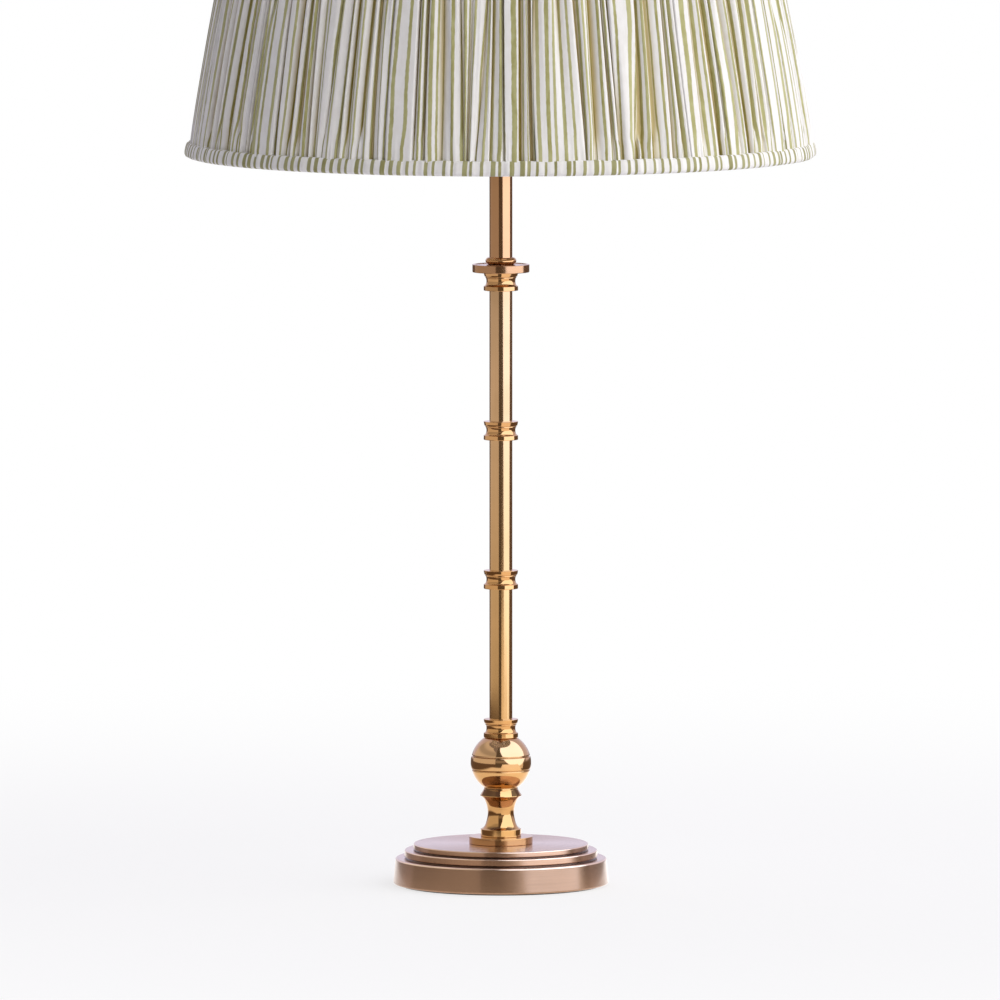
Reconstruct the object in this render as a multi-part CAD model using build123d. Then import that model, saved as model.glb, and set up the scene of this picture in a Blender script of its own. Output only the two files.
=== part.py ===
from build123d import *
import math
import os

# A brass candlestick table lamp with a gathered, striped empire shade.
# A stepped round base carries a turned pedestal, a ball knop and three equal
# tubes parted by four equal collars. A drip pan and a plain candle tube stand
# on the top collar. Everything is threaded on one hollow rod and drawn up by a
# nut under the base. The candle tube ends in a screw lampholder with a push-bar
# switch. Its two shade rings hold the shade, which hides the lampholder.
#
# Frame: +Z up, origin at the centre of the felt's underside. The front is -Y,
# and the cable leaves the base at the back, +Y. All sizes are in millimetres.

# ---- Driving dimensions -------------------------------------------------

slack = 0.3  # gap between neighbours that are not clamped together
seat_gap = 0.1  # gap round and under a spigot or a tube end in its socket

# Base: three tiers, from the table up
base_radius = 60.0
lower_tier_draft = 1.4  # how far the lowest tier's side leans in
lower_tier_top = 15.0
lower_tier_round = 1.2
middle_tier_step = 6.2  # how far the middle tier's edge stands inside the base's foot
middle_tier_height = 4.5
middle_tier_undercut = 1.6  # how far the tier's side stands out past its foot
upper_tier_step = 5.0
upper_tier_height = 3.5
upper_tier_undercut = 1.2
undercut_height = 0.5
upper_sides_draft = 0.35  # how far the middle and upper tiers' sides lean in
upper_sides_round = 0.6
base_side_wall = 2.5
base_top_wall = 3.0

# Underside
felt_thickness = 1.8
felt_proud = 0.8  # how far the felt reaches below the brass rim
felt_margin = 0.8  # how far the felt stays inside the rim
plate_thickness = 1.0
plate_ledge = 1.2  # width of the ledge that the cover plate lies against
ballast_clearance = 2.9  # round the ballast, where the cable bush comes through
ballast_bottom = 6.0
ballast_recess_radius = 15.0
ballast_recess_depth = 5.5

# Cable bush at the back
bush_radius = 3.9
bush_flange_radius = 5.3
bush_flange_thickness = 1.4
bush_tail = 1.6  # how far the bush reaches inside the wall
bush_barb = 0.35
bush_bore_radius = 2.9

# Rod, nut and washers
rod_radius = 5.0
rod_bore_radius = 3.25
rod_clearance = 0.15
rod_below_nut = 1.0
nut_across_flats = 17.0
nut_height = 5.0
nut_chamfer = 0.8
washer_radius = 12.5
washer_thickness = 1.5

# Pedestal
foot_disc_radius = 17.7
foot_disc_height = 4.0
plinth_radius = 11.25  # the plain ring at the foot of the waist
plinth_height = 4.2
waist_foot_radius = 10.0
waist_radius = 7.5
waist_height = 18.6  # from the plinth's top to the sharp ridge
ridge_radius = 11.5
ridge_to_knop = 4.2
waist_top_radius = 9.6
knop_radius = 16.4
knop_rise = 14.3  # from the knop's foot to its middle
knop_height = 28.2
knop_band_height = 6.8
knop_band_proud = 0.35
knop_groove = 0.7
edge_break = 0.35  # small chamfer on turned edges

# Collars and tubes
tube_radius = 6.35
tube_wall = 0.9
tube_visible = 72.8
tube_count = 3
socket_depth = 1.5
collar_radius = 9.55
collar_height = 10.2
collar_lower_flange = 2.4
collar_upper_flange = 2.4
collar_flare = 0.35  # how far each flange draws in towards the neck
collar_ring_radius = 8.75  # the small ring below the upper flange
collar_ring_height = 0.6
collar_neck_radius = 7.6
collar_lower_shoulder = 8.9
collar_upper_shoulder = 8.4
pan_radius = 15.8
pan_height = 4.3
pan_dish_depth = 0.6
pan_rim = 1.6
bead_radius = 8.55
bead_height = 3.9
stem_height = 400.0  # from the table to the top of the candle tube

# Lampholder
boss_radius = 8.2
boss_height = 5.0
rod_into_boss = 6.6
dome_radius = 20.5
holder_wall = 0.9
dome_rim_height = 7.0
skirt_radius = 19.6
skirt_overlap = 5.5  # how far the skirt goes down inside the dome's rim
skirt_lip = 1.6
holder_height = 54.6
core_radius = 17.9
core_foot_radius = 13.4
core_bottom = 8.6  # above the stem's top, as all holder heights here
core_step = 12.8
core_top = 28.0
wire_way_radius = 2.0
wire_way_offset = 9.5
sleeve_wall = 3.6
socket_radius = 13.5
socket_wall = 0.6
socket_top_gap = 2.4
socket_floor_opening = 9.0
contact_width = 6.0
contact_thickness = 0.5
contact_rise = 2.6
contact_length = 15.0
rivet_radius = 1.3
lock_screw_radius = 1.5

# Push-bar switch
bar_radius = 3.0
bar_clearance = 0.3
bar_above_stem = 14.0
bar_travel = 4.0
button_radius = 4.0
button_length = 4.5
button_gap = 0.5  # between a pushed-in button and the dome

# Shade rings on the lampholder
ring_flange_radius = 27.0
ring_flange_thickness = 2.2
ring_collar_radius = 21.9
ring_collar_height = 4.8
ring_clearance = 0.2
lower_ring_seat = 38.0  # the face that the shade lies on, above the stem's top
grip_count = 12
grip_radius = 2.4
grip_depth = 0.8

# Bulb
bulb_length = 100.0
bulb_tip_radius = 4.6
bulb_tip_height = 1.2
bulb_insulator_height = 3.8
bulb_cap_radius = 13.1
bulb_cap_height = 19.0
bulb_cap_wall = 0.5
bulb_neck_radius = 11.6
bulb_belly_radius = 17.5
bulb_belly_height = 30.0  # above the cap's top
bulb_point_radius = 2.1
bulb_point_height = 1.6
glass_wall = 1.0
glass_into_cap = 5.0

# Shade: a cone through the crests of the folds
shade_bottom = 405.8
shade_height = 225.0
shade_crest_radius = 171.3  # at the top edge of the lower binding
shade_top_crest_radius = 130.7  # at the shade's top
fold_count = 88
fold_depth_bottom = 4.4  # of the widest fold; a narrow fold is shallower
fold_depth_top = 4.2
fold_wander_share = 0.12  # how far a valley strays from even spacing, in pitches
cover_least = 0.7  # thickness of the cover at the bottom of a valley
liner_thickness = 0.8
wire_radius = 1.6
binding_height = 9.0
binding_bulge = 3.6  # past the crests
binding_hem = 1.2
binding_lip = 0.6
fitter_bore_radius = 21.0
fitter_thickness = 1.8
fitter_rim_wall = 1.2
fitter_rim_height = 6.3
arm_count = 3
arm_radius = 1.5
arm_level_run = 11.0
arm_bend = 9.0

# ---- Heights and radii worked out from them ------------------------------

base_shoulder_radius = base_radius - lower_tier_draft
middle_tier_radius = base_radius - middle_tier_step
upper_tier_radius = middle_tier_radius - upper_tier_step
middle_tier_top = lower_tier_top + middle_tier_height
base_top = middle_tier_top + upper_tier_height
middle_tier_foot = middle_tier_radius - middle_tier_undercut
upper_tier_foot = upper_tier_radius - upper_tier_undercut
middle_face_radius = middle_tier_radius - upper_sides_draft - upper_sides_round
top_face_radius = upper_tier_radius - upper_sides_draft - upper_sides_round
lower_cavity_radius = base_shoulder_radius - base_side_wall
middle_cavity_radius = middle_tier_foot - base_side_wall
upper_cavity_radius = upper_tier_foot - base_side_wall
plate_radius = lower_cavity_radius + plate_ledge
ledge_height = felt_thickness + plate_thickness
bush_height = (ledge_height + lower_tier_top - base_top_wall) / 2

bore_radius = rod_radius + rod_clearance
recess_ceiling = ballast_bottom + ballast_recess_depth
nut_bottom = recess_ceiling - washer_thickness - nut_height
rod_bottom = nut_bottom - rod_below_nut
rod_top = stem_height + rod_into_boss

plinth_bottom = base_top + foot_disc_height
ridge_height = plinth_bottom + plinth_height + waist_height
knop_bottom = ridge_height + ridge_to_knop
knop_middle = knop_bottom + knop_rise
knop_top = knop_bottom + knop_height
spigot_radius = tube_radius
spigot_height = socket_depth - seat_gap
collar_pitch = collar_height + tube_visible
pan_bottom = knop_top + collar_height + tube_count * collar_pitch
bead_bottom = pan_bottom + pan_height
candle_bottom = bead_bottom + bead_height - socket_depth + seat_gap

dome_bottom = stem_height + boss_height
dome_rise = dome_radius - boss_radius
dome_rim_bottom = dome_bottom + dome_rise
dome_rim_top = dome_rim_bottom + dome_rim_height
skirt_bottom = dome_rim_top - skirt_overlap
holder_top = stem_height + holder_height
core_top_height = stem_height + core_top
skirt_inner_radius = skirt_radius - holder_wall
sleeve_outer_radius = skirt_inner_radius - slack
sleeve_inner_radius = sleeve_outer_radius - sleeve_wall
contact_top = core_top_height + contact_thickness + contact_rise
bar_height = stem_height + bar_above_stem
shade_seat = stem_height + lower_ring_seat
ring_bore_radius = skirt_radius + ring_clearance
fitter_bottom = shade_seat + slack
fitter_top = fitter_bottom + fitter_thickness
fitter_rim_radius = ring_flange_radius + slack + fitter_rim_wall

bulb_bottom = contact_top + seat_gap
bulb_cap_bottom = bulb_bottom + bulb_tip_height + bulb_insulator_height
bulb_cap_top = bulb_cap_bottom + bulb_cap_height
bulb_top = bulb_bottom + bulb_length

shade_top = shade_bottom + shade_height
crest_reference = shade_bottom + binding_height
shade_taper = (shade_crest_radius - shade_top_crest_radius) / (shade_top - crest_reference)
cover_depth = max(fold_depth_bottom, fold_depth_top) + cover_least
liner_reference = shade_crest_radius - cover_depth - slack
wire_reference = liner_reference - wire_radius
wire_inset = binding_hem + slack + wire_radius  # from the shade's edge to the wire's centre
lower_wire_height = shade_bottom + wire_inset
upper_wire_height = shade_top - wire_inset


def on_cone(reference_radius, height):
    """Radius at a height on the cone that has this radius at the crest reference."""
    return reference_radius - shade_taper * (height - crest_reference)


# ---- Small tools -----------------------------------------------------------


def turned(*lines):
    """Solid turned about Z from the closed half outline that these lines make in XZ."""
    edges = [edge for line in lines for edge in line.edges()]
    return revolve(make_face(edges), Axis.Z, 360)


def path(*points):
    """Straight lines through (radius, height) points."""
    return Polyline(*[(radius, 0, height) for radius, height in points])


def bow(start, through, end):
    """Arc through three (radius, height) points."""
    return ThreePointArc(*[(radius, 0, height) for radius, height in (start, through, end)])


def tube(inner, outer, bottom, top):
    """Plain ring between two radii and two heights."""
    return turned(path((inner, bottom), (outer, bottom), (outer, top), (inner, top), (inner, bottom)))


def rod_along_x(radius, start, end, height):
    """Solid bar along X at a height."""
    return Pos(start, 0, height) * Rot(0, 90, 0) * Cylinder(
        radius, end - start, align=(Align.CENTER, Align.CENTER, Align.MIN)
    )


def rod_along_y(radius, start, end, height):
    """Solid bar along Y at a height."""
    return Pos(0, start, height) * Rot(-90, 0, 0) * Cylinder(
        radius, end - start, align=(Align.CENTER, Align.CENTER, Align.MIN)
    )


def upright(radius, bottom, top, x=0.0, y=0.0):
    """Solid bar along Z."""
    return Pos(x, y, bottom) * Cylinder(
        radius, top - bottom, align=(Align.CENTER, Align.CENTER, Align.MIN)
    )


# ---- Base --------------------------------------------------------------------


def upper_edge(radius, top, round_radius):
    """Quarter arc over a tier's upper edge, from its side on to its top."""
    side_end, top_start = top - round_radius, radius - round_radius
    diagonal = round_radius * math.sqrt(0.5)
    return bow((radius, side_end), (top_start + diagonal, side_end + diagonal), (top_start, top))


def tier_outline(step_start, foot, radius, bottom, top):
    """The step before a tier, its undercut foot, and its side up to the rounded edge."""
    edge = radius - upper_sides_draft
    side = path(
        (step_start, bottom),
        (foot, bottom),
        (foot, bottom + undercut_height),
        (radius, bottom + 2 * undercut_height),
        (edge, top - upper_sides_round),
    )
    return [side, upper_edge(edge, top, upper_sides_round)]


def base_outside():
    """Outside of the brass base, from the rim's foot up to its top face."""
    lower_face_radius = base_shoulder_radius - lower_tier_round
    return [
        path((base_radius, felt_proud), (base_shoulder_radius, lower_tier_top - lower_tier_round)),
        upper_edge(base_shoulder_radius, lower_tier_top, lower_tier_round),
        *tier_outline(lower_face_radius, middle_tier_foot, middle_tier_radius, lower_tier_top, middle_tier_top),
        *tier_outline(middle_face_radius, upper_tier_foot, upper_tier_radius, middle_tier_top, base_top),
    ]


def base_shell():
    """Cast and turned brass shell, hollow below, with the cable hole at the back."""
    cavity = path(
        (top_face_radius, base_top),
        (bore_radius, base_top),
        (bore_radius, base_top - base_top_wall),
        (upper_cavity_radius, base_top - base_top_wall),
        (upper_cavity_radius, middle_tier_top - base_top_wall),
        (middle_cavity_radius, middle_tier_top - base_top_wall),
        (middle_cavity_radius, lower_tier_top - base_top_wall),
        (lower_cavity_radius, lower_tier_top - base_top_wall),
        (lower_cavity_radius, ledge_height),
        (plate_radius, ledge_height),
        (plate_radius, felt_proud),
        (base_radius, felt_proud),
    )
    hole = rod_along_y(bush_radius + seat_gap, middle_cavity_radius, base_radius + 1, bush_height)
    return turned(*base_outside(), cavity) - hole


def base_plug():
    """The base's outside filled solid, for seating the cable bush's flange."""
    closing = path((top_face_radius, base_top), (0, base_top), (0, felt_proud), (base_radius, felt_proud))
    return turned(*base_outside(), closing)


def ballast():
    """Cast-iron weight in three steps, with a recess for the nut and a cable groove."""
    lower = lower_cavity_radius - ballast_clearance
    middle = middle_cavity_radius - slack
    upper = upper_cavity_radius - slack
    lower_top = lower_tier_top - base_top_wall - slack
    middle_top = middle_tier_top - base_top_wall - slack
    body = turned(
        path(
            (bore_radius, recess_ceiling),
            (ballast_recess_radius, recess_ceiling),
            (ballast_recess_radius, ballast_bottom),
            (lower, ballast_bottom),
            (lower, lower_top),
            (middle, lower_top),
            (middle, middle_top),
            (upper, middle_top),
            (upper, base_top - base_top_wall),
            (bore_radius, base_top - base_top_wall),
            (bore_radius, recess_ceiling),
        )
    )
    groove = Pos(0, 0, ballast_bottom) * Box(
        2 * bush_radius + 1,
        lower + 1,
        ballast_recess_depth,
        align=(Align.CENTER, Align.MIN, Align.MIN),
    )
    return body - groove


def cable_bush():
    """Snap-in bush: a flange that follows the base's side, a body and a barbed tail."""
    wall_inside = math.sqrt(lower_cavity_radius**2 - (bush_radius + bush_barb) ** 2)
    tail = wall_inside - bush_tail
    outside = base_radius + bush_flange_thickness
    body = rod_along_y(bush_radius, tail, outside, bush_height)
    barb = rod_along_y(bush_radius + bush_barb, tail, wall_inside - seat_gap, bush_height)
    flange = rod_along_y(bush_flange_radius, wall_inside, outside, bush_height) - base_plug()
    bore = rod_along_y(bush_bore_radius, tail - 1, outside + 1, bush_height)
    return body + barb + flange - bore


def cover_plate():
    """Steel disc that closes the underside against the ledge."""
    return upright(plate_radius - slack / 2, felt_thickness, ledge_height)


def felt_pad():
    """Felt disc under the cover plate. The lamp stands on it."""
    return upright(plate_radius - felt_margin, 0, felt_thickness)


# ---- Rod, nut and washers ------------------------------------------------------


def threaded_rod():
    """Hollow rod from under the nut to the lampholder. The cable runs up inside it."""
    return tube(rod_bore_radius, rod_radius, rod_bottom, rod_top)


def rod_washer():
    return tube(bore_radius, washer_radius, recess_ceiling - washer_thickness, recess_ceiling)


def rod_nut():
    """Hexagon nut, its corners turned off at both ends."""
    across_corners = nut_across_flats / math.cos(math.pi / 6) / 2
    hexagon = extrude(RegularPolygon(across_corners, 6), nut_height)
    envelope = turned(
        path(
            (0, 0),
            (across_corners - nut_chamfer, 0),
            (across_corners, nut_chamfer / 2),
            (across_corners, nut_height - nut_chamfer / 2),
            (across_corners - nut_chamfer, nut_height),
            (0, nut_height),
            (0, 0),
        )
    )
    bore = upright(bore_radius, -1, nut_height + 1)
    return Pos(0, 0, nut_bottom) * ((hexagon & envelope) - bore)


# ---- Pedestal --------------------------------------------------------------------


def foot_disc():
    """Flat disc on the base's top, its edges just broken."""
    edge = foot_disc_radius - edge_break
    return turned(
        path(
            (bore_radius, base_top),
            (foot_disc_radius, base_top),
            (foot_disc_radius, plinth_bottom - edge_break),
            (edge, plinth_bottom),
            (bore_radius, plinth_bottom),
            (bore_radius, base_top),
        )
    )


def pedestal_waist():
    """Turned waist: a plain ring, a hollow sweep and a sharp ridge under the knop."""
    plinth_top = plinth_bottom + plinth_height
    sweep_low = plinth_top + waist_height * 0.17
    sweep_narrow = plinth_top + waist_height * 0.50
    sweep_high = plinth_top + waist_height * 0.83
    sweep = Spline(
        (waist_foot_radius, 0, plinth_top),
        ((waist_foot_radius + waist_radius) / 2 - 0.35, 0, sweep_low),
        (waist_radius, 0, sweep_narrow),
        ((ridge_radius + waist_radius) / 2 - 0.15, 0, sweep_high),
        (ridge_radius, 0, ridge_height),
    )
    return turned(
        path(
            (bore_radius, plinth_bottom),
            (plinth_radius, plinth_bottom),
            (plinth_radius, plinth_top - edge_break),
            (plinth_radius - edge_break, plinth_top),
            (waist_foot_radius, plinth_top),
        ),
        sweep,
        path(
            (ridge_radius, ridge_height),
            (waist_top_radius, knop_bottom),
            (bore_radius, knop_bottom),
            (bore_radius, plinth_bottom),
        ),
    )


def on_knop(height):
    """Radius of the knop's sphere at a height."""
    return math.sqrt(knop_radius**2 - (height - knop_middle) ** 2)


def knop():
    """Ball with a proud middle band between two grooves, and a spigot for the collar."""
    band_low = knop_middle - knop_band_height / 2
    band_high = knop_middle + knop_band_height / 2
    low_edge = band_low - knop_groove
    high_edge = band_high + knop_groove
    groove_low = on_knop(band_low) - knop_groove
    groove_high = on_knop(band_high) - knop_groove
    lower_half = (knop_bottom + low_edge) / 2
    upper_half = (knop_top + high_edge) / 2
    spigot_top = knop_top + spigot_height
    return turned(
        path((bore_radius, knop_bottom), (on_knop(knop_bottom), knop_bottom)),
        bow(
            (on_knop(knop_bottom), knop_bottom),
            (on_knop(lower_half), lower_half),
            (on_knop(low_edge), low_edge),
        ),
        path(
            (on_knop(low_edge), low_edge),
            (groove_low, (low_edge + band_low) / 2),
            (on_knop(band_low) + knop_band_proud, band_low),
        ),
        bow(
            (on_knop(band_low) + knop_band_proud, band_low),
            (knop_radius + knop_band_proud, knop_middle),
            (on_knop(band_high) + knop_band_proud, band_high),
        ),
        path(
            (on_knop(band_high) + knop_band_proud, band_high),
            (groove_high, (high_edge + band_high) / 2),
            (on_knop(high_edge), high_edge),
        ),
        bow(
            (on_knop(high_edge), high_edge),
            (on_knop(upper_half), upper_half),
            (on_knop(knop_top), knop_top),
        ),
        path(
            (on_knop(knop_top), knop_top),
            (spigot_radius, knop_top),
            (spigot_radius, spigot_top),
            (bore_radius, spigot_top),
            (bore_radius, knop_bottom),
        ),
    )


# ---- Collars, tubes and the candle ---------------------------------------------------


def collar(bottom):
    """Reel-shaped collar: flared flanges with sockets, a hollow neck and a small ring."""
    top = bottom + collar_height
    lower = bottom + collar_lower_flange
    upper = top - collar_upper_flange
    ring = upper - collar_ring_height
    drawn_in = collar_radius - collar_flare
    socket = tube_radius + seat_gap
    return turned(
        path(
            (socket, bottom),
            (collar_radius - edge_break, bottom),
            (collar_radius, bottom + edge_break),
            (drawn_in, lower),
            (collar_lower_shoulder, lower),
        ),
        bow(
            (collar_lower_shoulder, lower),
            (collar_neck_radius, (lower + ring) / 2),
            (collar_upper_shoulder, ring),
        ),
        path(
            (collar_upper_shoulder, ring),
            (collar_ring_radius, ring),
            (collar_ring_radius, upper),
            (drawn_in, upper + edge_break),
            (collar_radius, top - edge_break),
            (collar_radius - edge_break, top),
            (socket, top),
            (socket, top - socket_depth),
            (bore_radius, top - socket_depth),
            (bore_radius, bottom + socket_depth),
            (socket, bottom + socket_depth),
            (socket, bottom),
        ),
    )


def stem_tube(index):
    """One of the equal stem tubes, its ends standing in the collars' sockets."""
    foot = knop_top + collar_height + index * collar_pitch
    reach = socket_depth - seat_gap
    return tube(tube_radius - tube_wall, tube_radius, foot - reach, foot + tube_visible + reach)


def drip_pan():
    """Flat pan with a shallow dish, a spigot below and a spigot above."""
    dish = pan_radius - pan_rim
    floor = bead_bottom - pan_dish_depth
    return turned(
        path(
            (bore_radius, pan_bottom - spigot_height),
            (spigot_radius, pan_bottom - spigot_height),
            (spigot_radius, pan_bottom),
            (pan_radius, pan_bottom),
            (pan_radius, bead_bottom - edge_break),
            (pan_radius - edge_break, bead_bottom),
            (dish, bead_bottom),
            (dish - pan_dish_depth, floor),
            (bead_radius + pan_dish_depth, floor),
            (bead_radius, bead_bottom),
            (bore_radius, bead_bottom),
            (bore_radius, pan_bottom - spigot_height),
        )
    )


def bead_ring():
    """Half-round bead that the candle tube stands in."""
    top = bead_bottom + bead_height
    socket = tube_radius + seat_gap
    foot = bead_radius - bead_height / 2 + slack
    return turned(
        path((bore_radius, bead_bottom), (foot, bead_bottom)),
        bow((foot, bead_bottom), (bead_radius, bead_bottom + bead_height / 2), (foot, top)),
        path(
            (foot, top),
            (socket, top),
            (socket, top - socket_depth),
            (bore_radius, top - socket_depth),
            (bore_radius, bead_bottom),
        ),
    )


def candle_tube():
    return tube(tube_radius - tube_wall, tube_radius, candle_bottom, stem_height)


# ---- Lampholder --------------------------------------------------------------------


def lampholder_dome():
    """Lower brass shell: a threaded boss, a round shoulder and a straight rim."""
    inner_rise = dome_rise - holder_wall
    diagonal = math.sqrt(0.5)
    outer_middle = (boss_radius + dome_rise * diagonal, dome_rim_bottom - dome_rise * diagonal)
    inner_middle = (boss_radius + inner_rise * diagonal, dome_rim_bottom - inner_rise * diagonal)
    rim_inner = dome_radius - holder_wall
    ceiling = dome_bottom + holder_wall
    body = turned(
        path(
            (bore_radius, stem_height),
            (boss_radius - edge_break, stem_height),
            (boss_radius, stem_height + edge_break),
            (boss_radius, dome_bottom),
        ),
        bow((boss_radius, dome_bottom), outer_middle, (dome_radius, dome_rim_bottom)),
        path(
            (dome_radius, dome_rim_bottom),
            (dome_radius, dome_rim_top),
            (rim_inner, dome_rim_top),
            (rim_inner, dome_rim_bottom),
        ),
        bow((rim_inner, dome_rim_bottom), inner_middle, (boss_radius, ceiling)),
        path((boss_radius, ceiling), (bore_radius, ceiling), (bore_radius, stem_height)),
    )
    bar_hole = rod_along_x(bar_radius + bar_clearance, -dome_radius - 1, dome_radius + 1, bar_height)
    screw_hole = rod_along_y(lock_screw_radius, -boss_radius - 1, -bore_radius + 1, lock_screw_height())
    return body - bar_hole - screw_hole


def lock_screw_height():
    return stem_height + boss_height / 2


def lock_screw():
    """Grub screw through the boss, which stops the lampholder turning on the rod."""
    screw = rod_along_y(lock_screw_radius, -boss_radius, -bore_radius, lock_screw_height())
    slot_depth = lock_screw_radius / 2
    slot = Pos(0, -boss_radius, lock_screw_height()) * Box(
        2 * lock_screw_radius + 1,
        2 * slot_depth,
        slot_depth / 2,
    )
    return screw - slot


def lampholder_core():
    """Ceramic core: a stepped plug with two wire ways and a tunnel for the switch bar."""
    bottom = stem_height + core_bottom
    step = stem_height + core_step
    body = turned(
        path(
            (0, bottom),
            (core_foot_radius, bottom),
            (core_foot_radius, step),
            (core_radius, step),
            (core_radius, core_top_height),
            (0, core_top_height),
            (0, bottom),
        )
    )
    for side in (-1, 1):
        body -= upright(wire_way_radius, bottom - 1, core_top_height + 1, y=side * wire_way_offset)
    reach = core_radius + 1
    return body - rod_along_x(bar_radius + bar_clearance, -reach, reach, bar_height)


def lampholder_skirt():
    """Upper brass shell that the shade rings screw onto, with a lip turned in at the top."""
    return turned(
        path(
            (skirt_inner_radius, skirt_bottom),
            (skirt_radius, skirt_bottom),
            (skirt_radius, holder_top - edge_break),
            (skirt_radius - edge_break, holder_top),
            (skirt_inner_radius - skirt_lip, holder_top),
            (skirt_inner_radius - skirt_lip, holder_top - holder_wall),
            (skirt_inner_radius, holder_top - holder_wall),
            (skirt_inner_radius, skirt_bottom),
        )
    )


def insulating_sleeve():
    """Ceramic sleeve between the skirt and the live socket."""
    return tube(
        sleeve_inner_radius,
        sleeve_outer_radius,
        core_top_height,
        holder_top - holder_wall - seat_gap,
    )


def bulb_socket():
    """Thin metal socket that takes the bulb's screw cap, with a floor on the core."""
    outer = socket_radius + socket_wall
    top = holder_top - socket_top_gap
    return turned(
        path(
            (socket_floor_opening, core_top_height),
            (outer, core_top_height),
            (outer, top),
            (socket_radius, top),
            (socket_radius, core_top_height + socket_wall),
            (socket_floor_opening, core_top_height + socket_wall),
            (socket_floor_opening, core_top_height),
        )
    )


def centre_contact():
    """Springy strip riveted to the core, bent up to meet the bulb's tip."""
    half = contact_length / 2
    low = core_top_height
    high = contact_top
    bend = contact_rise
    profile = make_face(
        Polyline(
            (-half, 0, low),
            (-half + bend * 1.5, 0, low),
            (-bend, 0, high - contact_thickness),
            (bend, 0, high - contact_thickness),
            (bend, 0, high),
            (-bend - contact_thickness, 0, high),
            (-half + bend * 1.5 - contact_thickness / 2, 0, low + contact_thickness),
            (-half, 0, low + contact_thickness),
            (-half, 0, low),
        ).edges()
    )
    return extrude(profile, contact_width / 2, dir=(0, 1, 0), both=True)


def contact_rivet():
    """Rivet that holds the strip down."""
    centre = -contact_length / 2 + rivet_radius * 1.5
    bottom = core_top_height + contact_thickness
    return upright(rivet_radius, bottom, bottom + contact_thickness, x=centre)


# ---- Push-bar switch -------------------------------------------------------------------


def bar_half_length():
    """From the bar's middle to each button's inner face."""
    return dome_radius + button_gap + bar_travel / 2


def switch_bar():
    """Bar through the dome and the core. It rests pushed towards -X, off."""
    middle = -bar_travel / 2
    half = bar_half_length()
    return rod_along_x(bar_radius, middle - half, middle + half, bar_height)


def switch_button(side):
    """Round button on the bar's end, its outer edge rounded."""
    inner = bar_half_length()
    outer = inner + button_length
    rounding = button_radius / 3
    profile = [
        path((0, inner), (button_radius, inner), (button_radius, outer - rounding)),
        bow(
            (button_radius, outer - rounding),
            (
                button_radius - rounding * (1 - math.sqrt(0.5)),
                outer - rounding * (1 - math.sqrt(0.5)),
            ),
            (button_radius - rounding, outer),
        ),
        path((button_radius - rounding, outer), (0, outer), (0, inner)),
    ]
    return Pos(-bar_travel / 2, 0, bar_height) * Rot(0, 90 * side, 0) * turned(*profile)


# ---- Shade rings -------------------------------------------------------------------------


def shade_ring(seat, away):
    """Threaded ring with a flange that presses on the fitter at the seat's height, and
    a collar that reaches away from it, up or down. Scallops round the flange give grip."""
    flange = seat + away * ring_flange_thickness
    end = flange + away * ring_collar_height
    ring = turned(
        path(
            (ring_bore_radius, seat),
            (ring_flange_radius, seat),
            (ring_flange_radius, flange),
            (ring_collar_radius, flange),
            (ring_collar_radius, end),
            (ring_bore_radius, end),
            (ring_bore_radius, seat),
        )
    )
    centre = ring_flange_radius + grip_radius - grip_depth
    for index in range(grip_count):
        angle = 2 * math.pi * (index + 0.5) / grip_count
        ring -= upright(
            grip_radius,
            min(seat, flange),
            max(seat, flange),
            x=centre * math.cos(angle),
            y=centre * math.sin(angle),
        )
    return ring


# ---- Bulb ------------------------------------------------------------------------------------


def bulb_contact():
    return upright(bulb_tip_radius, bulb_bottom, bulb_bottom + bulb_tip_height)


def bulb_insulator():
    """Black glass cone between the tip and the screw cap."""
    bottom = bulb_bottom + bulb_tip_height
    return turned(
        path(
            (0, bottom),
            (bulb_tip_radius, bottom),
            (bulb_cap_radius - bulb_cap_wall, bulb_cap_bottom),
            (0, bulb_cap_bottom),
            (0, bottom),
        )
    )


def bulb_cap():
    """Screw cap, a cup that is open at the top for the glass."""
    inner = bulb_cap_radius - bulb_cap_wall
    return turned(
        path(
            (0, bulb_cap_bottom),
            (inner, bulb_cap_bottom),
            (bulb_cap_radius, bulb_cap_bottom + bulb_cap_wall),
            (bulb_cap_radius, bulb_cap_top),
            (inner, bulb_cap_top),
            (inner, bulb_cap_bottom + bulb_cap_wall),
            (0, bulb_cap_bottom + bulb_cap_wall),
            (0, bulb_cap_bottom),
        )
    )


def candle_outline(inset):
    """Neck, belly and drawn-out point of the candle bulb, inset by a wall."""
    neck = bulb_neck_radius - inset
    belly = bulb_belly_radius - inset
    tip = bulb_top - inset
    belly_height = bulb_cap_top + bulb_belly_height
    shoulder = bulb_cap_top + bulb_belly_height * 0.35
    taper = belly_height + (bulb_top - belly_height) * 0.6
    return Spline(
        (neck, 0, bulb_cap_top),
        ((neck + belly) / 2 + inset * 0.2, 0, shoulder),
        (belly, 0, belly_height),
        (belly * 0.52, 0, taper),
        (bulb_point_radius, 0, tip - bulb_point_height),
        (0, 0, tip),
        tangents=((0, 0, 1), (-1, 0, 0)),
    )


def bulb_glass():
    """Opal glass candle, a thin shell whose neck stands in the cap."""
    inner_neck = bulb_neck_radius - glass_wall
    foot = bulb_cap_top - glass_into_cap
    return turned(
        path(
            (inner_neck, bulb_cap_top),
            (inner_neck, foot),
            (bulb_neck_radius, foot),
            (bulb_neck_radius, bulb_cap_top),
        ),
        candle_outline(0),
        path((0, bulb_top), (0, bulb_top - glass_wall)),
        candle_outline(glass_wall),
    )


# ---- Shade ---------------------------------------------------------------------------------------


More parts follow.
